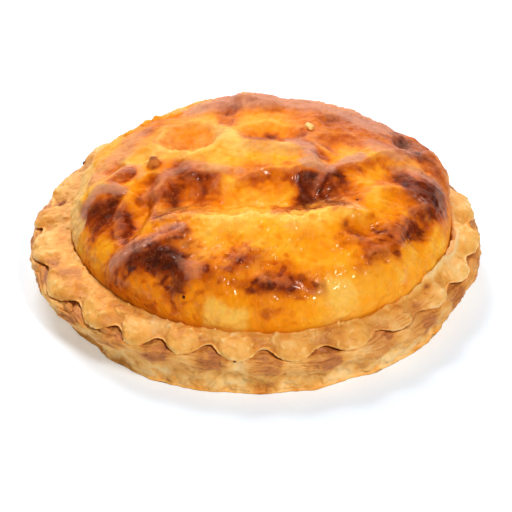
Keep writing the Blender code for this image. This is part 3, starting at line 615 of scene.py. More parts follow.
def make_lumps(name, marks):
    """Small uneven lumps, each closed: middle, the ways they point, half sizes; and which lump each point is on."""
    rings, around = 12, 20
    tip = np.linspace(0, math.pi, rings + 1)[1:-1]
    turn = np.linspace(0, 2 * math.pi, around, endpoint=False)
    ball = np.array([
        (math.sin(t) * math.cos(a), math.sin(t) * math.sin(a), math.cos(t)) for t in tip for a in turn
    ])
    ball = np.concatenate([ball, [(0, 0, 1), (0, 0, -1)]])
    index = np.arange((rings - 1) * around).reshape(rings - 1, around)
    ahead = np.roll(index, -1, axis=1)
    band = np.stack([index[:-1], index[1:], ahead[1:], ahead[:-1]], axis=-1).reshape(-1, 4)
    top, low = len(ball) - 2, len(ball) - 1
    caps = [(int(a), int(b), top) for a, b in zip(index[0], ahead[0])]
    caps += [(int(b), int(a), low) for a, b in zip(index[-1], ahead[-1])]
    points, quads, triangles, owner = [], [], [], []
    for k, (middle, ways, sizes) in enumerate(marks):
        uneven = 1 + 0.35 * lattice(ball + 3.1 * k, 0.8, 101) + 0.15 * lattice(ball + 3.1 * k, 0.4, 102)
        points.append(middle + (ball * uneven[:, None] * sizes) @ ways)
        quads.append(band + k * len(ball))
        triangles += [tuple(corner + k * len(ball) for corner in cap) for cap in caps]
        owner.append(np.full(len(ball), k))
    return new_mesh(name, np.concatenate(points), np.concatenate(quads), triangles), np.concatenate(owner)


def lump_ways(up, turn):
    """The three ways that a lump points: two along the surface, one out of it."""
    side = np.cross(up, (0.0, 1.0, 0.0))
    side /= np.linalg.norm(side)
    front = np.cross(up, side)
    c, s = math.cos(math.radians(turn)), math.sin(math.radians(turn))
    return np.stack([c * side + s * front, c * front - s * side, up])


def make_filling():
    """The rice filling: its domed skin with creases, grains, scorch marks and painted shade, highlights and sheen,
    over the plug in the shell.
    """
    line = np.linspace(-1, 1, DOME_CELLS + 1)
    square_x, square_y = np.meshgrid(line, line, indexing="ij")
    ring, angle = round_off(square_x.ravel(), square_y.ravel())
    share, section_radius, section_height = dome_section()
    radius = np.interp(ring, share, section_radius)
    height = np.interp(ring, share, section_height)
    step = 1 / SECTION_POINTS
    run = np.interp(ring + step, share, section_radius) - np.interp(ring - step, share, section_radius)
    fall = np.interp(ring - step, share, section_height) - np.interp(ring + step, share, section_height)
    slope = np.hypot(run, fall)
    slope[slope == 0] = 1
    x, y = radius * np.cos(angle) + DOME_X, radius * np.sin(angle)
    skin = smooth((height - RELIEF_FROM) / (RELIEF_FULL - RELIEF_FROM))
    smooth_dome = np.stack([x, y, height], axis=1)
    stir_x = x + 0.7 * lattice(smooth_dome, 4.5, 21) + 0.25 * lattice(smooth_dome, 1.6, 22)
    stir_y = y + 0.7 * lattice(smooth_dome, 4.5, 23) + 0.25 * lattice(smooth_dome, 1.6, 24)
    stand_off = relief(stir_x, stir_y) * skin
    out, up = stand_off * fall / slope, stand_off * run / slope
    surface = np.stack([x + out * np.cos(angle), y + out * np.sin(angle), height + up], axis=1)

    # Scorch marks and painted shade, highlights and sheen, with ragged edges, each carried to the spot on the
    # uneven skin that covers its place.
    ahead, above = math.cos(math.radians(PHOTO_ELEVATION)), math.sin(math.radians(PHOTO_ELEVATION))
    out_y = fall / slope * np.sin(angle)
    facing = np.maximum(run / slope * above - out_y * ahead, 0.3)
    seen_x = x + stand_off * fall / slope * np.cos(angle)
    seen_y = y + stand_off * (out_y + ahead / facing)
    mark_x = seen_x + 1.0 * lattice(smooth_dome, 4.0, 31) + 0.3 * lattice(smooth_dome, 1.3, 32)
    mark_y = seen_y + 1.0 * lattice(smooth_dome, 4.0, 33) + 0.3 * lattice(smooth_dome, 1.3, 34)
    kept = np.ones(len(x))
    for mark in SCORCH.values():
        kept *= 1 - stroke(mark_x, mark_y, *mark)
    brown_and_shade = SCORCH_SHARE * (1 - kept)
    char, pale_and_highlight, dry_sheen, amber_and_shade = (strongest(mark_x, mark_y, marks) for marks in (CHAR, PALE_AND_HIGHLIGHT, DRY_SHEEN, AMBER_AND_SHADE))
    brown_and_shade += CHAR_SHARE * char
    wet = 0.7 * smooth((lattice(smooth_dome * (0.8, 1.2, 1.0), 2.6, 45) - 0.34) / 0.2)
    wet = wet * smooth((GLINT_FROM - y) / 8)
    wet = np.maximum(wet, strongest(mark_x, mark_y, WET))
    side = DOME_CELLS + 1
    level = grid_normals(smooth_dome.reshape(side, side, 3)).reshape(-1, 3)
    tilted = grid_normals(surface.reshape(side, side, 3)).reshape(-1, 3)
    steep = np.arccos(np.clip(np.abs(np.sum(level * tilted, axis=1)), 0, 1))
    bare = stroke(mark_x, mark_y, *BARE)
    bearing = bearing_of(x - DOME_X, y)
    # Painted shade in the gap where the foot sinks behind the shell.
    gap = smooth((GAP_HEIGHT - height + 0.3 * lattice(smooth_dome, 1.5, 48)) / GAP_FADE)
    gap *= np.clip(around_rim(bearing, GAP_SHADES), 0, 1)
    raised = stand_off - soften(stand_off.reshape(side, side), 7).ravel()
    sharp = stand_off - soften(stand_off.reshape(side, side), 3).ravel()
    crest, valley = smooth((sharp - 0.03) / 0.14), smooth((-sharp - 0.03) / 0.12)
    mottle = octaves(smooth_dome, 5.0, 41) + 0.6 * octaves(smooth_dome * (0.8, 2.0, 1.0), 2.4, 44)
    # Painted shade: browner on steep slopes and in valleys, and less brown on crests as painted highlight; browner
    # also where raised and where flecked.
    brown_and_shade += 0.16 * smooth(steep / 0.8) + 0.12 * np.clip(raised, -0.3, 1) + 0.11 * mottle
    flecks = smooth((lattice(smooth_dome * (0.8, 1.4, 1.0), 1.9, 49) - 0.2) / 0.3)
    brown_and_shade += 0.14 * valley - 0.10 * crest + 0.16 * flecks * smooth((FLECKS_FROM - y) / 8)
    brown_and_shade = np.clip((brown_and_shade + 0.08 * smooth((y - REAR_BROWN_FROM) / 14)) * (1 - 0.85 * bare), 0, 1)
    blotch = octaves(smooth_dome, 3.2, 50)
    # Painted shade: deeper amber in hollows.
    amber_and_shade = np.clip((amber_and_shade - 0.5 * raised + 0.5 * blotch) * (1 - bare) * (1 - 0.8 * pale_and_highlight), 0, 1)
    pale_and_highlight = np.clip(np.maximum(pale_and_highlight, 0.9 * bare) + 0.3 * octaves(smooth_dome * (0.8, 1.5, 1.0), 4.0, 47), 0, 1)
    # Painted highlight: paler on crests where little browned.
    pale_and_highlight = np.clip(pale_and_highlight + 0.5 * crest * (1 - smooth(brown_and_shade / 0.5)), 0, 1)
    # Painted sheen: mauve on browned crests and more towards the back, less in valleys and charred places, none on
    # the bare strip.
    dry_sheen = np.clip(np.maximum(dry_sheen, 0.25 * crest * smooth((brown_and_shade - 0.2) / 0.3)) - 0.3 * valley - 0.2 * char, 0, 1)
    dry_sheen = np.clip(dry_sheen + 0.15 * smooth((y - REAR_SHEEN_FROM) / 14), 0, 1) * (1 - bare)

    # Fine relief: wrinkled where it is browned, grains of rice everywhere.
    normal = grid_normals(surface.reshape(side, side, 3)).reshape(-1, 3)
    normal *= np.sign(normal[len(normal) // 2, 2])
    grains = scatter_bumps(surface, normal, *GRAINS)
    pimples = scatter_bumps(surface, normal, *PIMPLES)
    wrinkle = 0.5 - np.abs(lattice(surface, 1.6, 51))
    wet = np.maximum(wet, 0.6 * smooth(pimples / 0.6) * smooth((WET_PIMPLES_FROM - y) / 10) * (1 - dry_sheen))
    fine = 0.18 * grains + 0.26 * pimples + 0.12 * brown_and_shade * wrinkle + 0.26 * lattice(surface, 4.2, 57)
    fine += 0.20 * lattice(surface * (0.8, 1.2, 1.0), 2.6, 53) + 0.10 * lattice(surface, 1.5, 54)
    fine += 0.10 * lattice(surface, 0.8, 55) + 0.26 * wet * lattice(surface, 0.8, 56)
    fine += 0.22 * dry_sheen * (0.4 - np.abs(lattice(surface * (1.0, 1.6, 1.0), 1.3, 46)))
    fine += bare * noises(surface, (0.3, 1.6, 58), (0.15, 0.8, 59)) - 0.4 * gap
    surface += normal * (fine * smooth((height - FINE_FROM) / (FINE_FULL - FINE_FROM)))[:, None]
    above = np.maximum(surface[:, 2] - TOP_FROM, 0) / TOP_ROOM
    surface[:, 2] = np.minimum(surface[:, 2], TOP_FROM) + TOP_ROOM * (1 - np.exp(-above))

    index = np.arange(side * side).reshape(side, side)
    quads = np.stack([index[:-1, :-1], index[1:, :-1], index[1:, 1:], index[:-1, 1:]], axis=-1).reshape(-1, 4)
    edge = np.concatenate([index[:-1, 0], index[-1, :-1], index[:0:-1, -1], index[0, :0:-1]])
    points, above = [surface], edge
    edge_angle = angle[edge]
    for ring_radius, ring_height in PLUG_RINGS:
        ring_points = np.stack([
            ring_radius * np.cos(edge_angle) + DOME_X,
            ring_radius * np.sin(edge_angle),
            np.full(len(edge), ring_height),
        ], axis=1)
        below = np.arange(len(edge)) + sum(len(group) for group in points)
        points.append(ring_points)
        band = np.stack([above, below, np.roll(below, -1), np.roll(above, -1)], axis=-1)
        quads = np.concatenate([quads, band])
        above = below
    bottom = sum(len(group) for group in points)
    points.append(np.array([[DOME_X, 0, PLUG_RINGS[-1][1]]]))
    triangles = [(int(a), bottom, int(b)) for a, b in zip(above, np.roll(above, -1))]
    made = new_mesh("filling_skin", np.concatenate(points), quads, triangles)
    rest = bottom + 1 - len(surface)
    layers = {"brown_and_shade": brown_and_shade, "pale_and_highlight": pale_and_highlight, "amber_and_shade": amber_and_shade, "wet": wet, "dry_sheen": dry_sheen, "gap": gap, "bare": bare}
    for name, values in layers.items():
        paint(made, name, np.append(values, np.full(rest, float(name == "gap"))))

    spots_on = []
    for seen_at_x, seen_at_y, half_x, half_y, half_z, turn in [mark[:6] for mark in SKIN_LUMPS] + [GRAIN]:
        nearest = np.argmin((seen_x - seen_at_x) ** 2 + (seen_y - seen_at_y) ** 2)
        spots_on.append((surface[nearest], lump_ways(normal[nearest], turn), (half_x, half_y, half_z)))
    lumps, owner = make_lumps("filling_lumps", spots_on[:-1])
    paint(lumps, "brown_and_shade", np.array([mark[6] for mark in SKIN_LUMPS])[owner])
    paint(lumps, "pale_and_highlight", np.array([mark[7] for mark in SKIN_LUMPS])[owner])
    grain, _ = make_lumps("rice_grain", spots_on[-1:])
    paint(grain, "bake", np.full(len(grain.data.vertices), GRAIN_BAKE))
    return made, lumps, grain


# ---------------------------------------------------------------- the shell

def flute_table():
    """Each recess's bearing, closed into a ring, and the size of the lobe after it."""
    bearings = [float(bearing) for bearing, _ in FLUTES]
    sizes = [size for _, size in FLUTES]
    gap = (bearings[0] + 360 - bearings[-1]) / (FLUTES_BACK + 1)
    for k in range(FLUTES_BACK):
        bearings.append(bearings[-1] + gap)
        sizes.append(1 + LOBE_SPREAD * math.sin(2.4 * k))
    return np.array(bearings + [bearings[0] + 360]), np.array(sizes)


def flutes(steps):
    """For each step round the rim: its bearing, and how far out on its lobe it is, 0 in a recess."""
    recess, size = flute_table()
    place = np.arange(len(size) * steps) / steps
    index = np.floor(place).astype(int)
    share = place - index
    share = share - STEPS_CROWD * np.sin(2 * math.pi * share) / (2 * math.pi)
    bearing = recess[index] + share * (recess[index + 1] - recess[index])
    from_recess = 1 - np.abs(2 * share - 1)
    return bearing, (1 - np.exp(-((from_recess / RECESS_WIDTH) ** 2))) * size[index]


def bump(bearing, middle, spread):
    """1 at a bearing, dying out over its spread on either side."""
    away = (bearing - middle + 180) % 360 - 180
    return np.exp(-((away / spread) ** 2))


def around_rim(bearing, marks):
    """The sum of marks round the rim: middle, spread and how much."""
    return sum(much * bump(bearing, middle, spread) for middle, spread, much in marks)


def fine_section(table, closed):
    """A section with a smooth curve through its rows, and each point's place along them."""
    rows = np.array(table)
    count = len(rows)
    made, places = [], []
    for k in range(count if closed else count - 1):
        if closed:
            before, first, last, after = (rows[(k + j) % count] for j in (-1, 0, 1, 2))
        else:
            before, first, last, after = (rows[min(max(k + j, 0), count - 1)] for j in (-1, 0, 1, 2))
        steps = max(int(first[5]), 1)
        for step in range(steps):
            t = step / steps
            curve = (
                2 * first + (last - before) * t + (2 * before - 5 * first + 4 * last - after) * t**2
                + (3 * first - before - 3 * last + after) * t**3
            )
            made.append(curve[:5] / 2)
            places.append(k + t)
    if not closed:
        made.append(rows[-1][:5])
        places.append(count - 1)
    return np.array(made), np.array(places)


def sweep(section, steps):
    """The section carried round the shell: a grid of points, and the size of the lobe at each step."""
    bearing, lobe = flutes(steps)
    angle = np.radians(bearing - 90)[None, :]
    lobe, bearing = lobe[None, :], bearing[None, :]
    radius, height = section[:, 0:1], section[:, 1:2]
    hang = lobe * (1 - around_rim(bearing, LEVELLED))
    slant = around_rim(bearing, SLANTS) * (np.clip(radius, RIM_INSIDE, SLANT_TO) - RIM_INSIDE)
    slant = slant * np.clip((height - SLANT_FROM_HEIGHT) / (SLANT_FULL_HEIGHT - SLANT_FROM_HEIGHT), 0, 1)
    rim = np.clip((height - RIM_FROM) / (RIM_FULL - RIM_FROM), 0, 1)
    rim = rim * np.clip((radius - RIM_STARTS) / RIM_BLEND, 0, 1)
    outside = rim * np.clip((radius - RIM_INSIDE) / (RIM_OUTSIDE - RIM_INSIDE), 0, 1)
    wander = RIM_WANDER * (np.sin(5 * angle + 1.0) + 0.6 * np.sin(9 * angle + 2.2))
    roll = RIM_ROLL * (np.sin(3 * angle + 0.5) + 0.6 * np.sin(7 * angle + 1.9))
    swept = around_rim(bearing, SWEEPS)
    wander = wander + swept * SWEPT_LEAN
    layers = np.clip(1 - ((height - BULGE_HEIGHT) / BULGE_HALF) ** 2, 0, 1)
    for middle, spread, outward in BULGES:
        wander = wander + outward * layers * bump(bearing, middle, spread)
    tuck = around_rim(bearing, TUCKS) * np.clip(1 - height / TUCK_HEIGHT, 0, 1)
    tuck = tuck * np.clip((radius - RIM_INSIDE) / TUCK_BLEND, 0, 1)
    radius = radius + section[:, 2:3] * lobe + outside * (wander + TIN_OVAL * np.cos(2 * angle)) + tuck
    angle = angle + np.radians(slant)
    grid = np.stack([
        np.cos(angle) * radius + DOME_X * section[:, 4:5],
        np.sin(angle) * radius,
        height + rim * (roll + swept) - section[:, 3:4] * hang,
    ], axis=2)
    return grid, np.clip(lobe[0], 0, 1)


def ring_quads(rows, steps, closed):
    """The faces of a swept grid that closes round the shell."""
    index = np.arange(rows * steps).reshape(rows, steps)
    ahead = np.roll(index, -1, axis=1)
    if closed:
        near, near_ahead, far, far_ahead = index, ahead, np.roll(index, -1, axis=0), np.roll(ahead, -1, axis=0)
    else:
        near, near_ahead, far, far_ahead = index[:-1], ahead[:-1], index[1:], ahead[1:]
    return np.stack([near, near_ahead, far_ahead, far], axis=-1).reshape(-1, 4)


def terraces(points, size, seed, levels):
    """Stepped noise, like torn sheets that overlap: its height, and 1 along the edges of the steps."""
    value = octaves(points, size, seed, 3, 0.45) * levels
    floor = np.floor(value)
    rise = smooth((value - floor - 0.86) / 0.14)
    return (floor + rise) / levels, 4 * rise * (1 - rise)


def strata(points, level, size, seed):
    """Noise that is long round the shell and thin across it, like layers seen edge on."""
    return lattice(np.column_stack([points[:, :2] * STRATA_SQUEEZE, level]), size, seed)


def spots(points, marks):
    """The sum of soft round marks on the shell: bearing, radius, height, half size, level."""
    total = np.zeros(len(points))
    for bearing, radius, height, half, level in marks:
        turn = math.radians(bearing - 90)
        middle = np.array([radius * math.cos(turn), radius * math.sin(turn), height])
        away = np.sum((points - middle) ** 2, axis=1)
        total += level * np.exp(-away / half**2)
    return total


def make_wall():
    """The outside and floor of the shell, with the pastry's layers showing under the lip."""
    section, place = fine_section(WALL_SECTION, False)
    grid, lobe = sweep(section, WALL_STEPS)
    rows, steps = grid.shape[:2]
    flat = grid.reshape(-1, 3)
    along = np.repeat(place, steps)
    recess = 1 - np.tile(lobe, rows)
    rising = np.roll(lobe, -3) - np.roll(lobe, 3)
    shaded_flank = np.tile(np.clip(rising / rising.max(), 0, 1), rows)
    wall = smooth((along - WALL_BASE + 0.6) / 0.8) * smooth((WALL_TOP + 1 - along) / 0.8)
    band = smooth((along - WALL_LAYERS) / 1.4) * smooth((WALL_TOP + 0.8 - along) / 0.5)
    flaky = band * (0.6 + 0.4 * recess)

    level = np.repeat(section[:, 1], steps) + 0.8 * lattice(flat, 7.0, 61) + 0.3 * lattice(flat, 2.8, 62)
    thick = strata(flat, level, 0.85, 63)
    thin = strata(flat, level, 0.34, 64)
    line = smooth((-0.08 - thin) / 0.2) * smooth(0.75 + 1.1 * lattice(flat, 3.0, 65))
    sheets, torn = terraces(flat * (1.0, 1.0, 0.7), 4.6, 66, 2.2)
    lumps = noises(flat, (0.42, 6.0, 67), (0.22, 2.4, 68), (0.08, 0.9, 69))
    normal = grid_normals(grid, wrap=True).reshape(-1, 3)
    push = wall * (lumps + 0.8 * sheets * (1 - 0.6 * flaky) - 0.10 * torn)
    push += flaky * (0.28 * thick + 0.12 * thin - 0.18 * line)
    push += spots(flat, WALL_HOLES)
    push = np.where(along < WALL_BASE + 1, np.minimum(push, 0.3), push)
    low, off_base = smooth((5.0 - flat[:, 2]) / 4.0), smooth((along - 0.4) / 0.6)
    foot = low * off_base * smooth((WALL_TOP - along) / 0.8)
    foot *= noises(flat * LEVEL_ONLY, (0.7, 9.0, 75), (0.35, 3.6, 76), (0.15, 1.5, 77))
    bearing = bearing_of(flat[:, 0], flat[:, 1])
    foot -= FOOT_TUCK * bump(bearing, *FOOT_TUCK_SPAN) * low * off_base
    outward = np.stack([flat[:, 0], flat[:, 1], np.zeros(len(flat))], axis=1)
    outward /= np.maximum(np.linalg.norm(outward, axis=1), 1)[:, None]
    flat = flat + normal * push[:, None] + outward * foot[:, None]
    seam = smooth((along - 6.2) / 0.8) * smooth((9.0 - along) / 0.8) * smooth((bearing + 60) / 40)
    flat[:, 2] += SEAM_CLOSED * seam * np.tile(lobe, rows) * smooth((100 - bearing) / 30)
    flat[:, 2] = np.maximum(flat[:, 2], 0)

    creamy = smooth((5.6 - flat[:, 2]) / 3.0)
    bake = 0.31 + 0.06 * band * recess - 0.22 * creamy * (1 - 0.4 * recess)
    bake += 0.20 * smooth((lattice(flat, 3.6, 70) - 0.2) / 0.25)
    # The torn sheets' step edges are darker: painted shade under their lifted edges.
    bake += 0.13 * octaves(flat, 7.0, 71) + 0.11 * lattice(flat, 2.0, 74) + 0.12 * sheets + 0.10 * torn
    edges = 0.13 * line * (1 - 0.6 * smooth((bearing - 30) / 20)) - 0.18 * thick - 0.10 * thin
    bake += flaky * edges + 0.14 * smooth((0.6 - flat[:, 2]) / 0.6)
    # Painted shade: darker on the right flank of each recess among the layers.
    bake += spots(flat, WALL_SPOTS) + 0.26 * band * shaded_flank + 0.30 * band * (recess - 0.35)
    bake += around_rim(bearing, WALL_TONES)
    bake = np.where(bake > DARKEST, DARKEST + DARKER * (bake - DARKEST), bake)
    dull = 0.75 * smooth((np.repeat(section[:, 1], steps) - 5.6) / 2.4) * (0.25 + 0.75 * recess)
    ends = np.array([[0, 0, 0], [DOME_X, 0, WALL_SECTION[-1][1]]])
    index = np.arange(rows * steps).reshape(rows, steps)
    ahead = np.roll(index, -1, axis=1)
    triangles = [(int(b), int(a), rows * steps) for a, b in zip(index[0], ahead[0])]
    triangles += [(int(a), int(b), rows * steps + 1) for a, b in zip(index[-1], ahead[-1])]
    made = new_mesh("crust_wall", np.concatenate([flat, ends]), ring_quads(rows, steps, False), triangles)
    paint(made, "bake", np.append(np.clip(bake, 0, 1), [0.3, 0.3]))
    paint(made, "dull", np.append(np.clip(dull, 0, 1), [0, 0]))
    return made


def make_lip():
    """The sheet that forms the rim: scalloped, blistered, thin at its edge."""
    section, place = fine_section(LIP_SECTION, True)
    grid, lobe = sweep(section, LIP_STEPS)
    rows, steps = grid.shape[:2]
    flat = grid.reshape(-1, 3)
    along = np.repeat(place, steps)
    lobes = np.tile(lobe, rows)
    radius = np.hypot(flat[:, 0], flat[:, 1])
    bearing = bearing_of(flat[:, 0], flat[:, 1])
    levelled = around_rim(bearing, LEVELLED)
    edge = smooth((along - LIP_EDGE + 1.4) / 1.0) * smooth((LIP_TOP + 0.3 - along) / 0.8)
    top = smooth((along - LIP_TOP + 0.4) / 0.7) * smooth((LIP_INNER + 1.2 - along) / 0.8)
    inner = smooth((along - LIP_INNER) / 0.6) * smooth((9.4 - along) / 0.6)

    lumps = noises(flat, (0.56, 6.5, 81), (0.26, 2.7, 82), (0.09, 1.1, 83))
    blister = np.clip(lattice(flat, 1.6, 84) - 0.36, 0, 1)
    bubble = np.clip(lattice(flat, 0.8, 85) - 0.45, 0, 1)
    sheets, torn = terraces(flat, 6.0, 86, 2.0)
    ragged = noises(flat, (0.26, 1.9, 87), (0.16, 0.7, 88), (0.3, 4.5, 92))
    outer = smooth((radius - LIP_OUTER) / 2.5)
    pleat = np.exp(-((lobes / 0.45) ** 2)) * outer * top
    puff = smooth(lobes) * outer * top
    pit = np.clip(lattice(flat, 0.9, 95) - 0.62, 0, 1) * top
    normal = grid_normals(grid, wrap=True).reshape(-1, 3)
    push = top * (lumps + 0.8 * blister + 0.6 * bubble + 0.2 * sheets - 0.06 * torn) - 0.7 * pleat + 0.3 * puff
    push += edge * (ragged - 0.35) + inner * (noises(flat, (0.3, 1.8, 89), (0.4, 4.5, 90)) - 0.25)
    push += -0.8 * pit + spots(flat, LIP_HOLES)
    layered = smooth(levelled) * smooth((radius - LAYERED_OUTER) / 1.2)
    thin = strata(flat, flat[:, 2] - 0.45 * radius + 0.5 * lattice(flat, 4.0, 98), 0.34, 64)
    line = smooth((-0.08 - thin) / 0.2) * smooth(0.7 + 1.1 * lattice(flat, 3.0, 65))
    push -= 0.16 * layered * line
    flat = flat + normal * push[:, None]

    # The torn edge against the filling.
    fringe = smooth((along - LIP_INNER + 0.5) / 0.7) * smooth((9.3 - along) / 0.8)
    rise = noises(flat * LEVEL_ONLY, (0.6, 3.4, 96), (0.14, 1.0, 97)) + 0.1
    curl = crease(flat[:, 0], flat[:, 1], *CURL) * top
    flap = bump(bearing, *FLAP_SPAN)
    flat[:, 2] += fringe * (rise + FLAP_RISE * flap) + curl

    bake = 0.43 + 0.18 * octaves(flat, 6.0, 91) + 0.12 * lattice(flat, 2.2, 94) + 0.08 * sheets
    # The torn sheets' step edges on top are darker: painted shade under their lifted edges.
    bake += 0.10 * pleat + 0.04 * inner + 0.08 * torn * top + 0.9 * pit - 0.05 * puff
    bake -= top * (0.55 * blister + 0.4 * bubble) + 0.26 * edge * smooth((along - LIP_EDGE) / 0.3)
    bake += spots(flat, LIP_SPOTS) - 0.1 * smooth((LIP_EDGE - 0.4 - along) / 0.6)
    bake += layered * (0.34 * line - 0.04) - (0.12 + 0.2 * flap) * fringe - 0.5 * curl
    tone = around_rim(bearing, RIM_TONES)
    bake += tone
    dull = 0.5 * pleat + 0.6 * layered + 0.15 * smooth(0.5 + 1.2 * lattice(flat, 4.0, 99)) * top
    dull *= 1 - smooth(-6 * tone)
    made = new_mesh("crust_lip", flat, ring_quads(rows, steps, True))
    paint(made, "bake", np.clip(bake, 0, 1))
    paint(made, "dull", np.clip(dull, 0, 1))
    return made


def make_shell_lumps():
    """Knuckles of rolled layers under the lip, and a few burnt specks."""
    marks = []
    for bearing, radius, height, half_x, half_y, half_z, turn, _ in SHELL_LUMPS:
        angle = math.radians(bearing - 90)
        middle = np.array([radius * math.cos(angle), radius * math.sin(angle), height])
        along = np.array([-math.sin(angle), math.cos(angle), 0.0])
        ways = np.stack([along, np.array([math.cos(angle), math.sin(angle), 0.0]), np.array([0.0, 0.0, 1.0])])
        marks.append((middle, ways, (half_x, half_y, half_z)))
    made, owner = make_lumps("crust_lumps", marks)
    paint(made, "bake", np.array([mark[7] for mark in SHELL_LUMPS])[owner])
    paint(made, "dull", np.array([0.6 if mark[3] > 1 else 0.0 for mark in SHELL_LUMPS])[owner])
    return made


# ---------------------------------------------------------------- materials

def linear(red, green, blue):
    """A colour as seen on screen, 0 to 255, as the shader's light values."""
    values = [channel / 255 for channel in (red, green, blue)]
    return tuple(v / 12.92 if v <= 0.04045 else ((v + 0.055) / 1.055) ** 2.4 for v in values) + (1.0,)


class Surface:
    """A material that is being put together from nodes."""

    def __init__(self, name):
        self.material = bpy.data.materials.new(name)
        self.material.use_nodes = True
        self.tree = self.material.node_tree
        self.shader = self.tree.nodes["Principled BSDF"]

    def set(self, **values):
        for name, value in values.items():
            self.shader.inputs[name.replace("_", " ")].default_value = value

    def link(self, out, into):
        self.tree.links.new(out, into)

    def attribute(self, name):
        made = self.tree.nodes.new("ShaderNodeAttribute")
        made.attribute_name = name
        return made.outputs["Fac"]

    def noise(self, size, detail=3.0, roughness=0.6):
        """Noise with forms about as large as size, in millimetres, between 0 and 1."""
        place = self.tree.nodes.new("ShaderNodeTexCoord")
        made = self.tree.nodes.new("ShaderNodeTexNoise")
        made.inputs["Scale"].default_value = 1 / (size * MM)
        made.inputs["Detail"].default_value = detail
        made.inputs["Roughness"].default_value = roughness
        self.link(place.outputs["Object"], made.inputs["Vector"])
        return made.outputs["Fac"]

    def math(self, operation, first, second, clamp=False):
        made = self.tree.nodes.new("ShaderNodeMath")
        made.operation = operation
        made.use_clamp = clamp
        for socket, value in zip(made.inputs, (first, second)):
            if isinstance(value, (int, float)):
                socket.default_value = value
            else:
                self.link(value, socket)
        return made.outputs[0]

    def sway(self, value, by, amount):
        """A value moved up and down by noise around 0.5."""
        return self.math("ADD", value, self.math("MULTIPLY", self.math("SUBTRACT", by, 0.5), amount))

    def ramp(self, value, stops):
        made = self.tree.nodes.new("ShaderNodeValToRGB")
        parts = made.color_ramp.elements
        while len(parts) < len(stops):
            parts.new(0.5)
        for part, (at, colour) in zip(parts, stops):
            part.position = at
            part.color = linear(*colour)
        self.link(value, made.inputs["Fac"])
        return made.outputs["Color"]

    def mix(self, share, first, second):
        made = self.tree.nodes.new("ShaderNodeMix")
        made.data_type = "RGBA"
        self.link(share, made.inputs["Factor"])
        for socket, value in ((made.inputs["A"], first), (made.inputs["B"], second)):
            if isinstance(value, tuple):
                socket.default_value = value
            else:
                self.link(value, socket)
        return made.outputs["Result"]

    def bump(self, height, strength, distance, below=None):
        made = self.tree.nodes.new("ShaderNodeBump")
        made.inputs["Strength"].default_value = strength
        made.inputs["Distance"].default_value = distance * MM
        self.link(height, made.inputs["Height"])
        if below is not None:
            self.link(below, made.inputs["Normal"])
        return made.outputs["Normal"]


# Colours as seen on screen, from pale to dark, with the browning that each belongs to.
SKIN_TONES = (
    (0.0, (255, 188, 50)), (0.2, (251, 165, 28)), (0.4, (234, 132, 12)),
    (0.6, (196, 90, 8)), (0.78, (142, 54, 12)), (1.0, (84, 29, 8)),
)
CRUST_TONES = (
    (0.0, (255, 218, 156)), (0.2, (252, 200, 120)), (0.4, (242, 178, 86)), (0.55, (228, 156, 68)),
    (0.7, (200, 126, 62)), (0.85, (156, 90, 46)), (1.0, (92, 46, 22)),
)
# Tones mixed over the skin: pale, also as painted highlight; bare pastry; amber, also as painted shade in hollows;
# dry skin with a painted mauve sheen; painted olive shade in the gap; pale specks that are partly painted glints;
# and the crust's dull tone.
PALE_HIGHLIGHT_TONE, BARE_TONE, AMBER_AND_SHADE_TONE = (255, 206, 102), (255, 201, 120), (252, 156, 2)
DRY_SHEEN_TONE, GAP_SHADE_TONE, SPECK_GLINT_TONE, DULL_TONE = (212, 152, 124), (146, 96, 22), (255, 176, 96), (206, 144, 92)


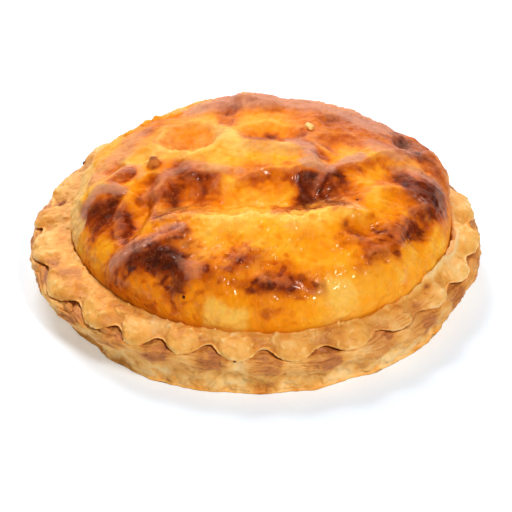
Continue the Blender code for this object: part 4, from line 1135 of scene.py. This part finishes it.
def skin_material():
    """Baked custard skin: amber where thin, deeper in hollows as painted shade; pale where it rose, with painted
    highlights on crests; brown to black-brown where it scorched, with painted shade in valleys and on steep slopes;
    a painted mauve sheen on crests, painted shade in the gap at the foot, and pale specks that are partly painted
    glints.
    """
    surface = Surface("baked_custard")
    brown_and_shade = surface.sway(surface.attribute("brown_and_shade"), surface.noise(1.1), 0.14)
    brown_and_shade = surface.sway(brown_and_shade, surface.noise(0.4, 2.0), 0.08)
    tone = surface.ramp(brown_and_shade, SKIN_TONES)
    # Pale skin, with painted highlights and glare.
    pale_and_highlight = surface.sway(surface.attribute("pale_and_highlight"), surface.noise(1.6), 0.4)
    pale_and_highlight = surface.math("MULTIPLY", pale_and_highlight, surface.math("SUBTRACT", 1.0, brown_and_shade, True), True)
    tone = surface.mix(pale_and_highlight, tone, linear(*PALE_HIGHLIGHT_TONE))
    tone = surface.mix(surface.attribute("bare"), tone, linear(*BARE_TONE))
    # Painted mauve sheen on the dry crests.
    dry_sheen = surface.sway(surface.attribute("dry_sheen"), surface.noise(0.9), 0.5)
    dry_sheen = surface.math("MULTIPLY", dry_sheen, 0.8, True)
    # Amber skin, deeper in hollows as painted shade.
    amber_and_shade = surface.sway(surface.attribute("amber_and_shade"), surface.noise(2.2), 0.3)
    amber_and_shade = surface.math("MULTIPLY", amber_and_shade, surface.math("SUBTRACT", 0.8, brown_and_shade, True), True)
    tone = surface.mix(amber_and_shade, tone, linear(*AMBER_AND_SHADE_TONE))
    tone = surface.mix(dry_sheen, tone, linear(*DRY_SHEEN_TONE))
    # Painted olive shade in the gap at the foot.
    gap = surface.sway(surface.attribute("gap"), surface.noise(1.0), 0.5)
    gap = surface.math("MULTIPLY", gap, 0.8, True)
    tone = surface.mix(gap, tone, linear(*GAP_SHADE_TONE))
    # Pale specks on browned skin, partly painted glints.
    speck_and_glint = surface.math("MULTIPLY", surface.math("SUBTRACT", surface.noise(0.6, 1.0), 0.63), 8.0, True)
    speck_and_glint = surface.math("MULTIPLY", speck_and_glint, surface.math("MULTIPLY", brown_and_shade, surface.math("SUBTRACT", 1.1, brown_and_shade)))
    tone = surface.mix(speck_and_glint, tone, linear(*SPECK_GLINT_TONE))
    surface.link(tone, surface.shader.inputs["Base Color"])
    wet = surface.attribute("wet")
    glaze = surface.math("ADD", 0.02, surface.math("MULTIPLY", wet, 0.5), True)
    surface.link(glaze, surface.shader.inputs["Coat Weight"])
    rough = surface.sway(0.42, surface.noise(1.2), 0.3)
    rough = surface.math("SUBTRACT", rough, surface.math("MULTIPLY", wet, 0.3))
    surface.link(rough, surface.shader.inputs["Roughness"])
    fine = surface.bump(surface.noise(0.5, 3.0), 0.3, 0.2)
    fine = surface.bump(surface.noise(1.3, 2.0), 0.3, 0.4, fine)
    surface.link(fine, surface.shader.inputs["Normal"])
    surface.set(Subsurface_Weight=0.08, Subsurface_Radius=(1.0, 0.6, 0.2), Subsurface_Scale=1.0 * MM)
    surface.set(Specular_IOR_Level=0.08, Coat_Roughness=0.14)
    return surface.material


def crust_material():
    """Puff pastry: creamy where it touched the tin, golden on top, brown between its layers, with painted shade
    beside the recesses and along torn edges.
    """
    surface = Surface("baked_pastry")
    bake = surface.sway(surface.attribute("bake"), surface.noise(1.4), 0.18)
    bake = surface.sway(bake, surface.noise(0.5, 2.0), 0.12)
    tone = surface.ramp(bake, CRUST_TONES)
    dull = surface.sway(surface.attribute("dull"), surface.noise(1.2), 0.3)
    dull = surface.math("MULTIPLY", dull, surface.math("SUBTRACT", 1.0, bake, True), True)
    tone = surface.mix(dull, tone, linear(*DULL_TONE))
    surface.link(tone, surface.shader.inputs["Base Color"])
    fine = surface.bump(surface.noise(0.45, 3.0), 0.4, 0.25)
    fine = surface.bump(surface.noise(1.6, 2.0), 0.3, 0.4, fine)
    surface.link(fine, surface.shader.inputs["Normal"])
    surface.set(Roughness=0.5, Specular_IOR_Level=0.3, Coat_Weight=0.08, Coat_Roughness=0.3)
    surface.set(Subsurface_Weight=0.08, Subsurface_Radius=(1.0, 0.6, 0.3), Subsurface_Scale=0.8 * MM)
    return surface.material


# ---------------------------------------------------------------- the studio

def make_floor():
    mesh = bpy.data.meshes.new("floor")
    half = FLOOR_HALF * MM
    corners = [(-half, -half, 0), (half, -half, 0), (half, half, 0), (-half, half, 0)]
    mesh.from_pydata(corners, [], [(0, 1, 2, 3)])
    made = bpy.data.objects.new("floor", mesh)
    bpy.context.scene.collection.objects.link(made)
    surface = Surface("white_floor")
    surface.set(Base_Color=(0.66, 0.73, 0.80, 1.0), Roughness=0.9, Specular_IOR_Level=0.0)
    surface.set(Emission_Color=(0.94, 0.96, 1.0, 1.0), Emission_Strength=0.34)
    mesh.materials.append(surface.material)


def make_light(name, place, width, depth, power):
    """A soft light panel that points at the tart."""
    light = bpy.data.lights.new(name, "AREA")
    light.shape = "RECTANGLE"
    light.size = width * MM
    light.size_y = depth * MM
    light.energy = power
    made = bpy.data.objects.new(name, light)
    made.location = Vector(place) * MM
    made.rotation_euler = (-made.location).to_track_quat("-Z", "Y").to_euler()
    bpy.context.scene.collection.objects.link(made)


def make_studio():
    world = bpy.data.worlds.new("studio")
    world.use_nodes = True
    bpy.context.scene.world = world
    backdrop = world.node_tree.nodes["Background"]
    backdrop.inputs["Color"].default_value = (1.0, 1.0, 1.0, 1.0)
    backdrop.inputs["Strength"].default_value = BACKDROP
    for name, light in LIGHTS.items():
        make_light(name, *light)
    view = bpy.context.scene.view_settings
    view.view_transform = "Standard"
    view.gamma = VIEW_GAMMA
    view.exposure = VIEW_EXPOSURE


def make_camera():
    camera = bpy.data.cameras.new("camera")
    made = bpy.data.objects.new("camera", camera)
    bpy.context.scene.collection.objects.link(made)
    tilt = math.radians(CAMERA_ELEVATION)
    back, up = CAMERA_DISTANCE * math.cos(tilt), CAMERA_DISTANCE * math.sin(tilt) + CAMERA_AIM
    made.location = (0, -back * MM, up * MM)
    made.rotation_euler = (math.pi / 2 - tilt, 0, 0)
    camera.sensor_width = SENSOR
    camera.lens = FOCAL_PIXELS / FRAME_PIXELS * SENSOR
    camera.shift_x = FRAME_SHIFT / FRAME_PIXELS
    bpy.context.scene.camera = made


# ---------------------------------------------------------------- putting it together

make_camera()
make_studio()
make_floor()

custard, pastry = skin_material(), crust_material()
for filling in make_filling():
    filling.data.materials.append(pastry if filling.name == "rice_grain" else custard)
    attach(filling, "root")
    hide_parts("rice_filling")

for crust in (make_wall(), make_lip(), make_shell_lumps()):
    crust.data.materials.append(pastry)
    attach(crust, "root")
    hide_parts("pastry_crust")
